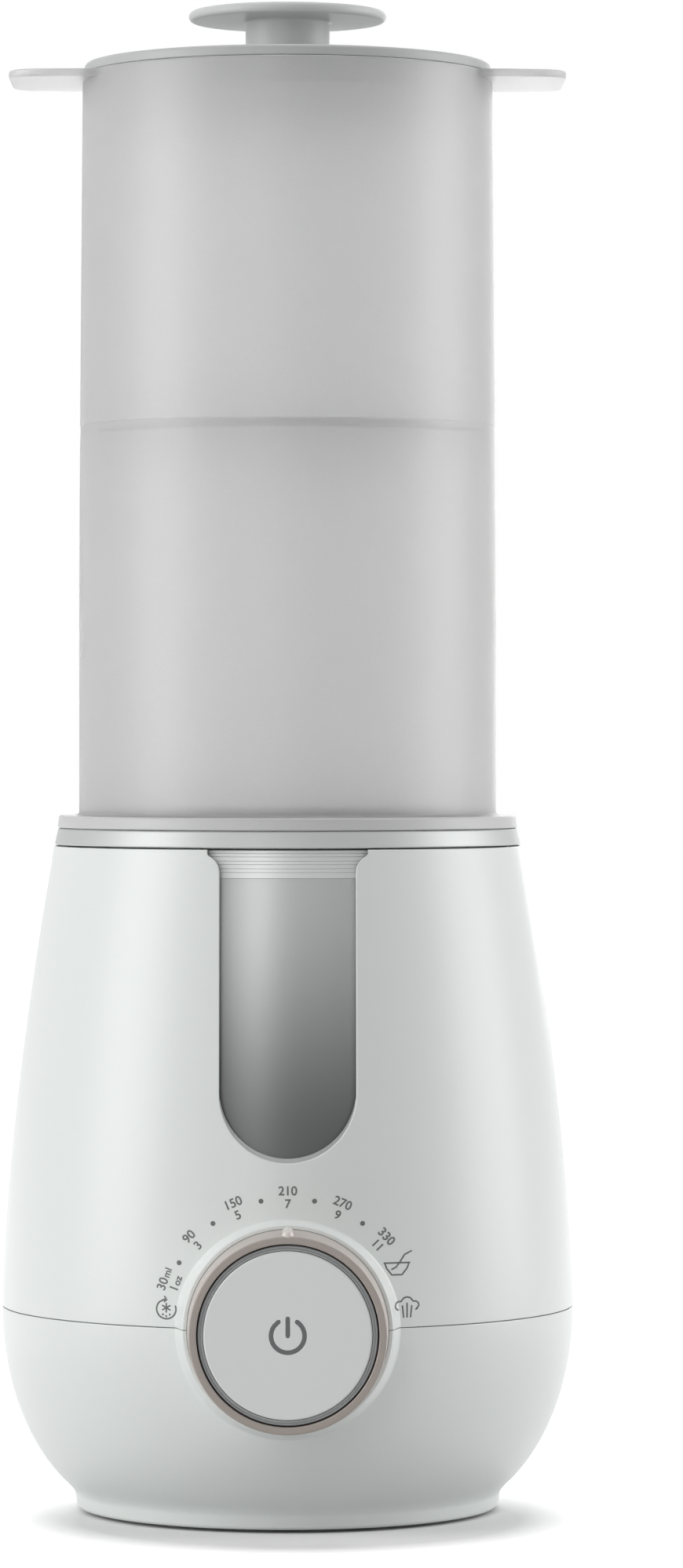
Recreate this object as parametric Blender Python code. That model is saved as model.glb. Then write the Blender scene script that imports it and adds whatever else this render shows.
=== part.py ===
"""Bottle and baby-food warmer with a lift-off steam column, as an assembly of separate solids.

Metres, +Z up. The body's axis is vertical. The dial's axis is level, lies on the casing's seam
and points to the front, -Y. The origin is on the floor, under the middle of the whole object.
Radii and heights are taken from the body's axis and from the floor.
"""
import math

import bmesh
import bpy

# General
GAP = 0.0003
WALL = 0.0025
FINE, MEDIUM, COARSE, SMALL = 36, 24, 12, 8

# Casing: an upper and a lower shell that meet at the widest height
BODY_R = 0.0700
RIM_R = 0.0572
SEAM_Z = 0.0502
RIM_Z = 0.1626
BODY_TAPER = 1.55
BOWL_CENTRE_R = 0.0380
BOWL_DROP = 0.0500
NECK_Z = 0.0060
FOOT_TOP_R, FOOT_TOP_Z = 0.0520, 0.0046
FOOT_R, FOOT_Z = 0.0516, 0.0008
FOOT_BORE_R = 0.0492
LIP_R, LIP_WALL, LIP_DROP = 0.0671, 0.0015, 0.0038
SCREW_LEDGE_R, SCREW_LEDGE_LOW, SCREW_LEDGE_TOP = 0.0360, 0.0040, 0.0090

# Viewing window in the upper shell
WINDOW_HALF = 0.01615
WINDOW_LOW = 0.0900
FLARE_HALF = 0.0190
SHOULDER_R = 0.0043
SHOULDER_Z = 0.1572
JAMB_WALL = 0.0018
JAMB_INNER_R = 0.0544

# Water chamber, with the heater under its floor
CUP_R, CUP_WALL = 0.0540, 0.0022
CUP_FLOOR_Z, CUP_FLOOR = 0.0840, 0.0024
CUP_HOLE_R = 0.0400
SHELF_R, SHELF_LOW, SHELF_TOP = 0.0505, 0.0820, 0.0837
COLLAR_LOW, COLLAR_TOP = 0.1632, 0.1670
COLLAR_R, COLLAR_TOP_R = 0.0571, 0.0562
COLLAR_BORE_R, COLLAR_SKIRT_R, COLLAR_SKIRT_Z = 0.0494, 0.0514, 0.1558
HEATER_R, HEATER_FLANGE_R = 0.0385, 0.0435
HEATER_TOP, HEATER_FLANGE_Z = 0.0855, 0.0806
HEATER_SHEET = 0.0014
ELEMENT_RING_R, ELEMENT_TUBE_R = 0.0280, 0.0032
ELEMENT_SWEEP = math.radians(300.0)
ELEMENT_TAIL_Z = 0.0710
CLAMP_R, CLAMP_BORE_R, CLAMP_LOW, CLAMP_TOP = 0.0498, 0.0380, 0.0779, 0.0803
CLAMP_SCREW_RING_R = 0.0469
CUP_BOSS_R, CUP_BOSS_Z = 0.0029, 0.0812
CLAMP_SCREW_ANGLES = (90.0, 210.0, 330.0)
THERMOSTAT_R, SENSOR_R, SENSOR_RING_R = 0.0090, 0.0030, 0.0180

# Steam column, its two trays and its lid
FLANGE_LOW, FLANGE_TOP = 0.1673, 0.1701
FLANGE_R, FLANGE_TOP_R = 0.0564, 0.0560
COLUMN_R, COLUMN_TOP_R, COLUMN_TOP = 0.0511, 0.05015, 0.3513
COLUMN_STRAIGHT_Z = 0.2180
COLUMN_WALL = 0.0018
SPIGOT_R, SPIGOT_TIP_R, SPIGOT_Z = 0.0489, 0.0464, 0.1615
LOWER_LEDGE_R, LOWER_LEDGE_TOP = 0.0446, 0.1710
UPPER_LEDGE_R, UPPER_LEDGE_LOW, UPPER_LEDGE_TOP = 0.0466, 0.2615, 0.2635
EAR_REACH, EAR_HALF, EAR_CORNER_R = 0.0678, 0.0189, 0.0075
EAR_LOW, EAR_TOP = 0.3493, 0.3512
TRAY_SHEET = 0.0016
LOWER_TRAY_R, UPPER_TRAY_R = 0.0462, 0.0478
TRAY_HOLE_R = 0.0040
TRAY_HOLE_RINGS = ((0.0145, 5), (0.0310, 10))
LID_R, LID_LOW, LID_TOP = 0.0497, 0.3516, 0.3539
LID_SKIRT_R, LID_SKIRT_WALL, LID_SKIRT_Z = 0.0472, 0.0016, 0.3449
KNOB_R, KNOB_STEM_R = 0.0242, 0.0103
KNOB_LOW, KNOB_DISC_LOW, KNOB_TOP = 0.3542, 0.3644, 0.3669
LID_SCREW_R, LID_SCREW_HOLE_R = 0.0020, 0.0023
LID_SCREW_TIP = 0.3600

# Dial: depths are taken from the body's axis towards the front
DIAL_FRONT = 0.0850
DIAL_R, DIAL_BACK_R, DIAL_BORE_R = 0.02315, 0.02365, 0.0213
DIAL_SLEEVE_BACK = 0.0563
BOSS_FRONT, BOSS_BACK = 0.0710, 0.0600
BOSS_R, BOSS_ROOT_R, BOSS_BORE_R = 0.0253, 0.0275, 0.0240
POINTER_R, POINTER_RING_R, POINTER_BACK = 0.00135, 0.0230, 0.0743
GEAR_MODULE = 0.0010
GEAR_TEETH, PINION_TEETH = 48, 10
GEAR_BACK, GEAR_FRONT = 0.0520, 0.0560
PINION_ANGLE = math.radians(-30.0)
TUBE_R, TUBE_BORE_R, TUBE_FRONT = 0.0210, 0.0190, 0.0777
HOUSING_R, HOUSING_BORE_R = 0.0255, 0.0150
HOUSING_BACK, HOUSING_FRONT = 0.0464, 0.0496
GUIDE_BACK, GUIDE_FRONT, GUIDE_R = 0.0580, 0.0600, 0.0032
LIGHT_RING_BORE_R, LIGHT_RING_FRONT = 0.0200, 0.0844

# Power button and its switch
BUTTON_R, BUTTON_FRONT, BUTTON_BACK = 0.0197, 0.0848, 0.0792
BUTTON_SKIRT_R, BUTTON_SKIRT_BACK = 0.0186, 0.0680
BUTTON_SHEET = 0.0022
BUTTON_STEM_R, BUTTON_STEM_BACK = 0.0026, 0.0510
SPRING_R, SPRING_WIRE_R, SPRING_TURNS = 0.0055, 0.0005, 5
PLUNGER_R, PLUNGER_BACK = 0.0018, 0.0456
SWITCH_HALF, SWITCH_FRONT, SWITCH_POCKET_R, SWITCH_POCKET_BACK = 0.0060, 0.0480, 0.0022, 0.0440

# Control board behind the dial; heights are taken from the dial's axis
BOARD_BACK, BOARD_FRONT = 0.0400, 0.0416
BOARD_HALF_WIDTH, BOARD_LOW, BOARD_HIGH = 0.0330, -0.0282, 0.0178
PARTS_BACK = BOARD_FRONT + GAP
POST_PLACES = ((-0.0175, 0.0135), (0.0175, 0.0135), (-0.0100, -0.0190), (0.0100, -0.0190))
POST_R = 0.0026
ENCODER_HALF, ENCODER_FRONT, ENCODER_SHAFT_R = 0.0060, 0.0460, 0.0020
LED_HEIGHT, LED_R, LED_FRONT = 0.0105, 0.0020, 0.0460
LEG_HALF_WIDTH, LEG_BACK, LEG_FRONT = 0.0140, 0.0468, 0.0492
LEG_FOOT_BACK, LEG_FOOT_THICK = 0.0380, 0.0027
LEG_SCREW_X, LEG_SCREW_DEPTH = 0.0090, 0.0420

# Underside, mains inlet and wiring
PLATE_R, PLATE_LOW, PLATE_TOP = 0.0489, 0.0012, 0.0037
PLATE_SCREW_RING_R = 0.0420
PAD_R, PAD_TOP, PAD_RING_R = 0.0060, 0.0018, 0.0410
INLET_Z, INLET_BORE_R, INLET_BARREL_R = 0.0200, 0.0034, 0.0057
INLET_INNER_R, INLET_INNER_Y = 0.0082, (0.0500, 0.0530)
INLET_OUTER_R, INLET_OUTER_Y = 0.0074, (0.0665, 0.0685)
BLOCK_HALF_WIDTH, BLOCK_Y, BLOCK_TOP = 0.0120, (0.0360, 0.0480), 0.0220
LEAD_R = 0.0010

# Screws: head radius, head height, shank radius; and the radius of the hole a shank goes in
SCREW_HEAD_R, SCREW_HEAD, SCREW_R, SCREW_HOLE_R = 0.0028, 0.0014, 0.0014, 0.00175

# The box of the whole object runs from the dial's face to the body's back, so the axis is off centre
AXIS_Y = (DIAL_FRONT - BODY_R) / 2

# Colour, roughness and metallic value of each finish
FINISHES = {
    "white_abs": ((0.78, 0.79, 0.785), 0.42, 0.0),
    "frosted_polypropylene": ((0.50, 0.505, 0.50), 0.60, 0.0),
    "grey_polypropylene": ((0.37, 0.38, 0.375), 0.50, 0.0),
    "silver_lacquer": ((0.60, 0.61, 0.61), 0.30, 0.6),
    "clear_copolyester": ((0.55, 0.56, 0.56), 0.10, 0.0),
    "taupe_soft_touch": ((0.30, 0.27, 0.25), 0.55, 0.0),
    "grey_light_guide": ((0.20, 0.20, 0.20), 0.20, 0.0),
    "light_grey_abs": ((0.57, 0.58, 0.57), 0.50, 0.0),
    "black_nylon": ((0.03, 0.03, 0.03), 0.55, 0.0),
    "grey_rubber": ((0.12, 0.12, 0.12), 0.80, 0.0),
    "silicone": ((0.75, 0.75, 0.72), 0.60, 0.0),
    "steel": ((0.60, 0.60, 0.60), 0.30, 1.0),
    "aluminium": ((0.75, 0.75, 0.76), 0.35, 1.0),
    "circuit_board": ((0.03, 0.16, 0.07), 0.50, 0.0),
}


def clear_scene():
    """Remove every object that the file starts with."""
    for obj in list(bpy.data.objects):
        bpy.data.objects.remove(obj, do_unlink=True)


def finish(name):
    """Return the named finish as a material, made on first use."""
    known = bpy.data.materials.get(name)
    if known:
        return known
    colour, roughness, metallic = FINISHES[name]
    material = bpy.data.materials.new(name)
    material.use_nodes = True
    shader = material.node_tree.nodes["Principled BSDF"]
    shader.inputs["Base Color"].default_value = (*colour, 1.0)
    shader.inputs["Roughness"].default_value = roughness
    shader.inputs["Metallic"].default_value = metallic
    material.diffuse_color = (*colour, 1.0)
    return material


def add_axis(name, parent, location, rotation=(0.0, 0.0, 0.0)):
    """Add an empty that carries the pieces on one axis."""
    empty = bpy.data.objects.new(name, None)
    empty.empty_display_size = 0.01
    empty.parent = parent
    empty.location = location
    empty.rotation_euler = rotation
    bpy.context.scene.collection.objects.link(empty)
    return empty


def add_object(name, data, parent):
    """Link a mesh or a curve to the scene under a parent."""
    obj = bpy.data.objects.new(name, data)
    obj.parent = parent
    bpy.context.scene.collection.objects.link(obj)
    return obj


def add_piece(name, bm, parent, finish_name):
    """Turn a bmesh into a named piece with smooth round faces and sharp corners."""
    mesh = mesh_from(name, bm)
    mesh.shade_smooth()
    mesh.set_sharp_from_angle(angle=math.radians(35.0))
    mesh.materials.append(finish(finish_name))
    return add_object(name, mesh, parent)


def add_helper(name, bm, parent):
    """Turn a bmesh into a hidden shape that others are cut by or joined with."""
    obj = add_object(name, mesh_from(name, bm), parent)
    obj.hide_render = True
    obj.display_type = "WIRE"
    return obj


def mesh_from(name, bm):
    """Close a bmesh's seams and poles, point its faces outwards and return it as a mesh."""
    bmesh.ops.remove_doubles(bm, verts=bm.verts, dist=1e-6)
    bmesh.ops.recalc_face_normals(bm, faces=bm.faces)
    mesh = bpy.data.meshes.new(name)
    bm.to_mesh(mesh)
    bm.free()
    return mesh


def combine(target, helper, operation):
    """Cut, join or trim a piece with a helper."""
    modifier = target.modifiers.new(helper.name, "BOOLEAN")
    modifier.operation = operation
    modifier.solver = "EXACT"
    modifier.object = helper


def spaced(first, last, count):
    """Return evenly spaced values, both ends included."""
    return [first + (last - first) * step / (count - 1) for step in range(count)]


def on_circle(radius, degrees):
    """Return the point at an angle on a circle round the axis."""
    angle = math.radians(degrees)
    return radius * math.cos(angle), radius * math.sin(angle)


def turned(profile, steps):
    """Spin a (radius, height) outline round local Z into a solid or a ring."""
    bm = bmesh.new()
    verts = [bm.verts.new((radius, 0.0, height)) for radius, height in profile]
    edges = [bm.edges.new(pair) for pair in zip(verts, verts[1:])]
    if profile[0][0] > 0.0:
        edges.append(bm.edges.new((verts[-1], verts[0])))
    bmesh.ops.spin(bm, geom=verts + edges, axis=(0, 0, 1), cent=(0, 0, 0),
                   angle=math.tau, steps=steps, use_merge=True)
    return bm


def add_prism(bm, outline, low, high):
    """Add a flat outline in local XY, extruded from one height to another."""
    face = bm.faces.new([bm.verts.new((x, y, low)) for x, y in outline])
    grown = bmesh.ops.extrude_face_region(bm, geom=[face])["geom"]
    tops = [item for item in grown if isinstance(item, bmesh.types.BMVert)]
    bmesh.ops.translate(bm, vec=(0.0, 0.0, high - low), verts=tops)


def prism(outline, low, high):
    """Return one extruded outline."""
    bm = bmesh.new()
    add_prism(bm, outline, low, high)
    return bm


def disc(x, y, radius, sides=COARSE):
    """Return a round outline."""
    angles = [math.tau * (k + 0.5) / sides for k in range(sides)]
    return [(x + radius * math.cos(a), y + radius * math.sin(a)) for a in angles]


def rectangle(low_x, low_y, high_x, high_y):
    """Return a rectangular outline."""
    return [(low_x, low_y), (high_x, low_y), (high_x, high_y), (low_x, high_y)]


def round_holes(places, radius, low, high, sides=SMALL):
    """Return round cutters of one size at several places."""
    bm = bmesh.new()
    for x, y in places:
        add_prism(bm, disc(x, y, radius, sides), low, high)
    return bm


def add_screw(name, parent, place, head_low, tip, shank_r=SCREW_R, head_r=SCREW_HEAD_R):
    """Add a pan-head screw that points along local +Z."""
    head_top = head_low + SCREW_HEAD
    profile = [(0.0, tip), (shank_r, tip), (shank_r, head_top), (head_r, head_top), (head_r, head_low),
               (0.0, head_low)]
    screw = add_piece(name, turned(profile, SMALL), parent, "steel")
    screw.location = (*place, 0.0)
    return screw


def smooth_route(points, per_span=4):
    """Return points along a smooth curve through a wire's or tube's own points."""
    ends = [points[0], *points, points[-1]]
    route = []
    for before, start, end, after in zip(ends, ends[1:], ends[2:], ends[3:]):
        for step in range(per_span):
            t = step / per_span
            route.append(tuple(
                0.5 * (2 * b + (c - a) * t + (2 * a - 5 * b + 4 * c - d) * t * t
                       + (3 * b - a - 3 * c + d) * t ** 3)
                for a, b, c, d in zip(before, start, end, after)))
    return route + [points[-1]]


def add_tube(name, points, radius, parent, finish_name, resolution=2):
    """Add a round bar that follows a line of points, closed at both ends."""
    curve = bpy.data.curves.new(name, "CURVE")
    curve.dimensions = "3D"
    curve.bevel_depth = radius
    curve.bevel_resolution = resolution
    curve.use_fill_caps = True
    spline = curve.splines.new("POLY")
    spline.points.add(len(points) - 1)
    for target, point in zip(spline.points, points):
        target.co = (*point, 1.0)
        target.radius = 1.0
    curve.materials.append(finish(finish_name))
    return add_object(name, curve, parent)


def body_radius(z):
    """Return the upper shell's outside radius at a height."""
    share = max(0.0, (z - SEAM_Z) / (RIM_Z - SEAM_Z))
    return BODY_R - (BODY_R - RIM_R) * share ** BODY_TAPER


def bowl_radius(z, inset=0.0):
    """Return the lower shell's radius at a height: a quarter ellipse, inset for the inside."""
    drop = (SEAM_Z - z) / (BOWL_DROP - inset)
    return BOWL_CENTRE_R + (BODY_R - BOWL_CENTRE_R - inset) * math.sqrt(1.0 - drop * drop)


def column_radius(z):
    """Return the steam column's outside radius: straight at first, then a gentle taper."""
    share = max(0.0, (z - COLUMN_STRAIGHT_Z) / (COLUMN_TOP - COLUMN_STRAIGHT_Z))
    return COLUMN_R - (COLUMN_R - COLUMN_TOP_R) * share ** 1.3


def window_outline(grow, top, flared):
    """Return the window's U outline, grown outwards, with a flared mouth if asked for."""
    half = WINDOW_HALF + grow
    centre = WINDOW_LOW + WINDOW_HALF
    bottom = [(half * math.sin(a), centre - half * math.cos(a))
              for a in spaced(-math.pi / 2, math.pi / 2, 13)]
    side = [(half, top)]
    if flared:
        side = [(WINDOW_HALF + SHOULDER_R * (1 - math.cos(a)), SHOULDER_Z + SHOULDER_R * math.sin(a))
                for a in spaced(0.0, math.acos(1 - (FLARE_HALF - WINDOW_HALF) / SHOULDER_R), 5)]
        side.append((FLARE_HALF, top))
    return bottom + side + [(-x, z) for x, z in reversed(side)]


def half_boss(name, sign, dial_axis):
    """Return the upper or lower half of the cone that the dial stands out of."""
    bm = turned([(0.0, BOSS_FRONT), (BOSS_R, BOSS_FRONT), (BOSS_ROOT_R, BOSS_BACK), (0.0, BOSS_BACK)],
                FINE)
    edge = sign * (GAP / 2 + 0.00002)
    cut = bmesh.ops.bisect_plane(bm, geom=bm.verts[:] + bm.edges[:] + bm.faces[:], dist=1e-7,
                                 plane_co=(0.0, edge, 0.0), plane_no=(0.0, sign, 0.0), clear_inner=True)
    rim = [item for item in cut["geom_cut"] if isinstance(item, bmesh.types.BMEdge)]
    bmesh.ops.contextual_create(bm, geom=rim)
    return add_helper(name, bm, dial_axis)


def make_casing(body, front, dial_axis):
    """Model the two shells, with the window, the dial's boss and the screw ledge."""
    low = SEAM_Z + GAP / 2
    outside = [(body_radius(z), z) for z in spaced(RIM_Z, low, 8)]
    lip = [(LIP_R, low), (LIP_R, low - LIP_DROP), (LIP_R - LIP_WALL, low - LIP_DROP),
           (LIP_R - LIP_WALL, low + LIP_WALL)]
    below_shelf = [(body_radius(z) - WALL, z) for z in spaced(low + 2 * LIP_WALL, SHELF_LOW, 2)]
    shelf = [(SHELF_R, SHELF_LOW), (SHELF_R, SHELF_TOP)]
    above_shelf = [(body_radius(z) - WALL, z) for z in spaced(SHELF_TOP, RIM_Z, 4)]
    upper = add_piece("upper_shell", turned(outside + lip + below_shelf + shelf + above_shelf, FINE),
                      body, "white_abs")

    jamb = add_helper("window_jamb", prism(window_outline(JAMB_WALL, RIM_Z - WALL, False),
                                           CUP_R - WALL, BODY_R), front)
    hull_line = [(body_radius(z) - WALL / 2, z) for z in spaced(RIM_Z, SHELF_TOP, 5)]
    hull = add_helper("jamb_outer_limit",
                      turned([(0.0, RIM_Z)] + hull_line + [(0.0, SHELF_TOP)], FINE), body)
    room = add_helper("jamb_inner_limit",
                      prism(disc(0.0, 0.0, JAMB_INNER_R, FINE), SHELF_TOP - WALL, RIM_Z + WALL), body)
    combine(jamb, hull, "INTERSECT")
    combine(jamb, room, "DIFFERENCE")
    window = add_helper("window_cut", prism(window_outline(0.0, RIM_Z + WALL, True),
                                            CUP_R - 2 * WALL, BODY_R + WALL), front)
    lip_notch = add_helper("lip_notch", prism(rectangle(-0.029, low - 2 * LIP_DROP, 0.029, low - 0.00002),
                                              BOSS_BACK - WALL, BODY_R), front)
    bore = add_helper("dial_bore", prism(disc(0.0, 0.0, BOSS_BORE_R, FINE), GEAR_BACK, DIAL_FRONT), dial_axis)
    combine(upper, lip_notch, "DIFFERENCE")
    combine(upper, half_boss("upper_boss", 1.0, dial_axis), "UNION")
    combine(upper, bore, "DIFFERENCE")
    combine(upper, jamb, "UNION")
    combine(upper, window, "DIFFERENCE")

    top = SEAM_Z - GAP / 2
    outside = [(bowl_radius(z), z) for z in spaced(top, NECK_Z, 8)]
    foot = [(FOOT_TOP_R, FOOT_TOP_Z), (FOOT_R, FOOT_Z), (FOOT_BORE_R, FOOT_Z),
            (FOOT_BORE_R, SCREW_LEDGE_LOW)]
    ledge = [(SCREW_LEDGE_R, SCREW_LEDGE_LOW), (SCREW_LEDGE_R, SCREW_LEDGE_TOP)]
    inside = [(bowl_radius(z, WALL), z) for z in spaced(SCREW_LEDGE_TOP, top, 5)]
    lower = add_piece("lower_shell", turned(outside + foot + ledge + inside, FINE), body, "white_abs")
    combine(lower, half_boss("lower_boss", -1.0, dial_axis), "UNION")
    combine(lower, bore, "DIFFERENCE")
    screw_places = plate_screw_places() + [(side * LEG_SCREW_X, -LEG_SCREW_DEPTH) for side in (-1, 1)]
    plate_holes = round_holes(screw_places[:4], SCREW_HOLE_R, 0.0, SCREW_LEDGE_TOP - GAP)
    leg_holes = round_holes(screw_places[4:], SCREW_HOLE_R, SCREW_LEDGE_LOW + GAP, 2 * SCREW_LEDGE_TOP)
    combine(lower, add_helper("plate_screw_holes", plate_holes, body), "DIFFERENCE")
    combine(lower, add_helper("leg_screw_holes", leg_holes, body), "DIFFERENCE")
    inlet_hole = prism(disc(0.0, INLET_Z, INLET_BARREL_R + GAP, COARSE), -BODY_R, -INLET_INNER_Y[1])
    combine(lower, add_helper("inlet_hole", inlet_hole, front), "DIFFERENCE")


def plate_screw_places():
    """Return where the four screws of the base plate stand."""
    return [on_circle(PLATE_SCREW_RING_R, 45.0 + 90.0 * k) for k in range(4)]


def make_underside(body):
    """Model the base plate with its screws and rubber pads."""
    plate = add_piece("base_plate", prism(disc(0.0, 0.0, PLATE_R, FINE), PLATE_LOW, PLATE_TOP),
                      body, "white_abs")
    pad_places = [on_circle(PAD_RING_R, 90.0 * k) for k in range(4)]
    head_recess = PLATE_LOW + 0.001
    pockets = bmesh.new()
    for x, y in pad_places:
        add_prism(pockets, disc(x, y, PAD_R + GAP, COARSE), 0.0, PAD_TOP + GAP)
    for x, y in plate_screw_places():
        add_prism(pockets, disc(x, y, SCREW_HEAD_R + GAP), 0.0, head_recess)
    combine(plate, add_helper("plate_pockets", pockets, body), "DIFFERENCE")
    holes = round_holes(plate_screw_places(), SCREW_HOLE_R, PLATE_LOW - WALL, PLATE_TOP + WALL)
    combine(plate, add_helper("plate_holes", holes, body), "DIFFERENCE")
    for number, (pad, screw) in enumerate(zip(pad_places, plate_screw_places()), start=1):
        profile = [(0.0, PAD_TOP), (PAD_R, PAD_TOP), (PAD_R, 0.0004), (PAD_R - 0.0004, 0.0), (0.0, 0.0)]
        rubber = add_piece(f"foot_pad_{number}", turned(profile, COARSE), body, "grey_rubber")
        rubber.location = (*pad, 0.0)
        add_screw(f"base_screw_{number}", body, screw, head_recess - GAP - SCREW_HEAD,
                  SCREW_LEDGE_TOP - 3 * GAP)


def make_chamber(body):
    """Model the water cup with its collar and the heater clamped under its floor."""
    floor_top = CUP_FLOOR_Z + CUP_FLOOR
    cup = add_piece("chamber_cup", turned(
        [(CUP_R, RIM_Z), (CUP_R, CUP_FLOOR_Z), (CUP_HOLE_R, CUP_FLOOR_Z), (CUP_HOLE_R, floor_top),
         (CUP_R - CUP_WALL, floor_top), (CUP_R - CUP_WALL, RIM_Z)], FINE), body, "clear_copolyester")
    bosses = [on_circle(CLAMP_SCREW_RING_R, angle) for angle in CLAMP_SCREW_ANGLES]
    inside_floor = CUP_FLOOR_Z + CUP_FLOOR / 2
    combine(cup, add_helper("cup_bosses", round_holes(bosses, CUP_BOSS_R, CUP_BOSS_Z, inside_floor), body),
            "UNION")
    combine(cup, add_helper("cup_boss_holes", round_holes(bosses, SCREW_HOLE_R, CLAMP_LOW, inside_floor),
                            body), "DIFFERENCE")

    step_r = CUP_R + 0.0005
    add_piece("collar_ring", turned(
        [(COLLAR_TOP_R - 0.0008, COLLAR_TOP), (COLLAR_TOP_R, COLLAR_TOP - 0.0004),
         (COLLAR_R, COLLAR_LOW + 0.0006), (COLLAR_R - 0.0004, COLLAR_LOW), (step_r, COLLAR_LOW),
         (step_r, RIM_Z + GAP), (COLLAR_SKIRT_R, RIM_Z + GAP), (COLLAR_SKIRT_R, COLLAR_SKIRT_Z),
         (COLLAR_BORE_R, COLLAR_SKIRT_Z), (COLLAR_BORE_R, COLLAR_TOP)], FINE), body, "silver_lacquer")

    flange_top = HEATER_FLANGE_Z + HEATER_SHEET
    well_r, well_top = HEATER_R - HEATER_SHEET, HEATER_TOP - HEATER_SHEET
    add_piece("heater_plate", turned(
        [(0.0, HEATER_TOP), (HEATER_R - 0.001, HEATER_TOP), (HEATER_R, HEATER_TOP - 0.001),
         (HEATER_R, flange_top), (HEATER_FLANGE_R, flange_top), (HEATER_FLANGE_R, HEATER_FLANGE_Z),
         (well_r, HEATER_FLANGE_Z), (well_r, well_top), (0.0, well_top)], MEDIUM), body, "aluminium")
    add_piece("chamber_seal", turned(
        [(HEATER_FLANGE_R, CUP_FLOOR_Z - GAP), (HEATER_FLANGE_R, flange_top + GAP),
         (HEATER_R + 0.0007, flange_top + GAP), (HEATER_R + 0.0007, CUP_FLOOR_Z - GAP)], MEDIUM),
        body, "silicone")
    clamp = add_piece("heater_clamp", turned(
        [(CLAMP_R, CLAMP_TOP), (CLAMP_R, CLAMP_LOW), (CLAMP_BORE_R, CLAMP_LOW), (CLAMP_BORE_R, CLAMP_TOP)],
        MEDIUM), body, "steel")
    combine(clamp, add_helper("clamp_holes", round_holes(bosses, SCREW_HOLE_R, CLAMP_LOW - WALL,
                                                         CLAMP_TOP + WALL), body), "DIFFERENCE")
    for number, place in enumerate(bosses, start=1):
        add_screw(f"clamp_screw_{number}", body, place, CLAMP_LOW - GAP - SCREW_HEAD, inside_floor - 2 * GAP)

    contact = well_top - GAP
    add_piece("thermostat", turned(
        [(0.0, contact), (THERMOSTAT_R, contact), (THERMOSTAT_R, contact - 0.003),
         (THERMOSTAT_R - 0.002, contact - 0.003), (THERMOSTAT_R - 0.002, contact - 0.006),
         (0.0, contact - 0.006)], COARSE), body, "black_nylon")
    sensor = add_piece("temperature_sensor", turned(
        [(0.0, contact), (SENSOR_R, contact), (SENSOR_R, contact - 0.005), (0.0, contact - 0.006)], COARSE),
        body, "steel")
    sensor.location = (0.0, -SENSOR_RING_R, 0.0)
    add_tube("heating_element", element_route(), ELEMENT_TUBE_R, body, "steel", 1)


def element_route():
    """Return the heater's path: most of a circle, with both tails turned down at the back."""
    height = HEATER_TOP - HEATER_SHEET - GAP - ELEMENT_TUBE_R
    start = math.pi / 2 + (math.tau - ELEMENT_SWEEP) / 2
    ring = [(ELEMENT_RING_R * math.cos(a), ELEMENT_RING_R * math.sin(a), height)
            for a in spaced(start, start + ELEMENT_SWEEP, 25)]
    bend = ELEMENT_TUBE_R * 1.6
    tails = []
    for end, inward in ((ring[0], -1.0), (ring[-1], 1.0)):
        angle = math.atan2(end[1], end[0])
        along = (-math.sin(angle) * inward, math.cos(angle) * inward)
        turn = [(bend * math.sin(a), bend * (1 - math.cos(a))) for a in spaced(0.4, math.pi / 2, 4)]
        tail = [(end[0] + along[0] * run, end[1] + along[1] * run, height - fall) for run, fall in turn]
        tails.append(tail + [(tail[-1][0], tail[-1][1], ELEMENT_TAIL_Z)])
    return list(reversed(tails[0])) + ring + tails[1]


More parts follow.
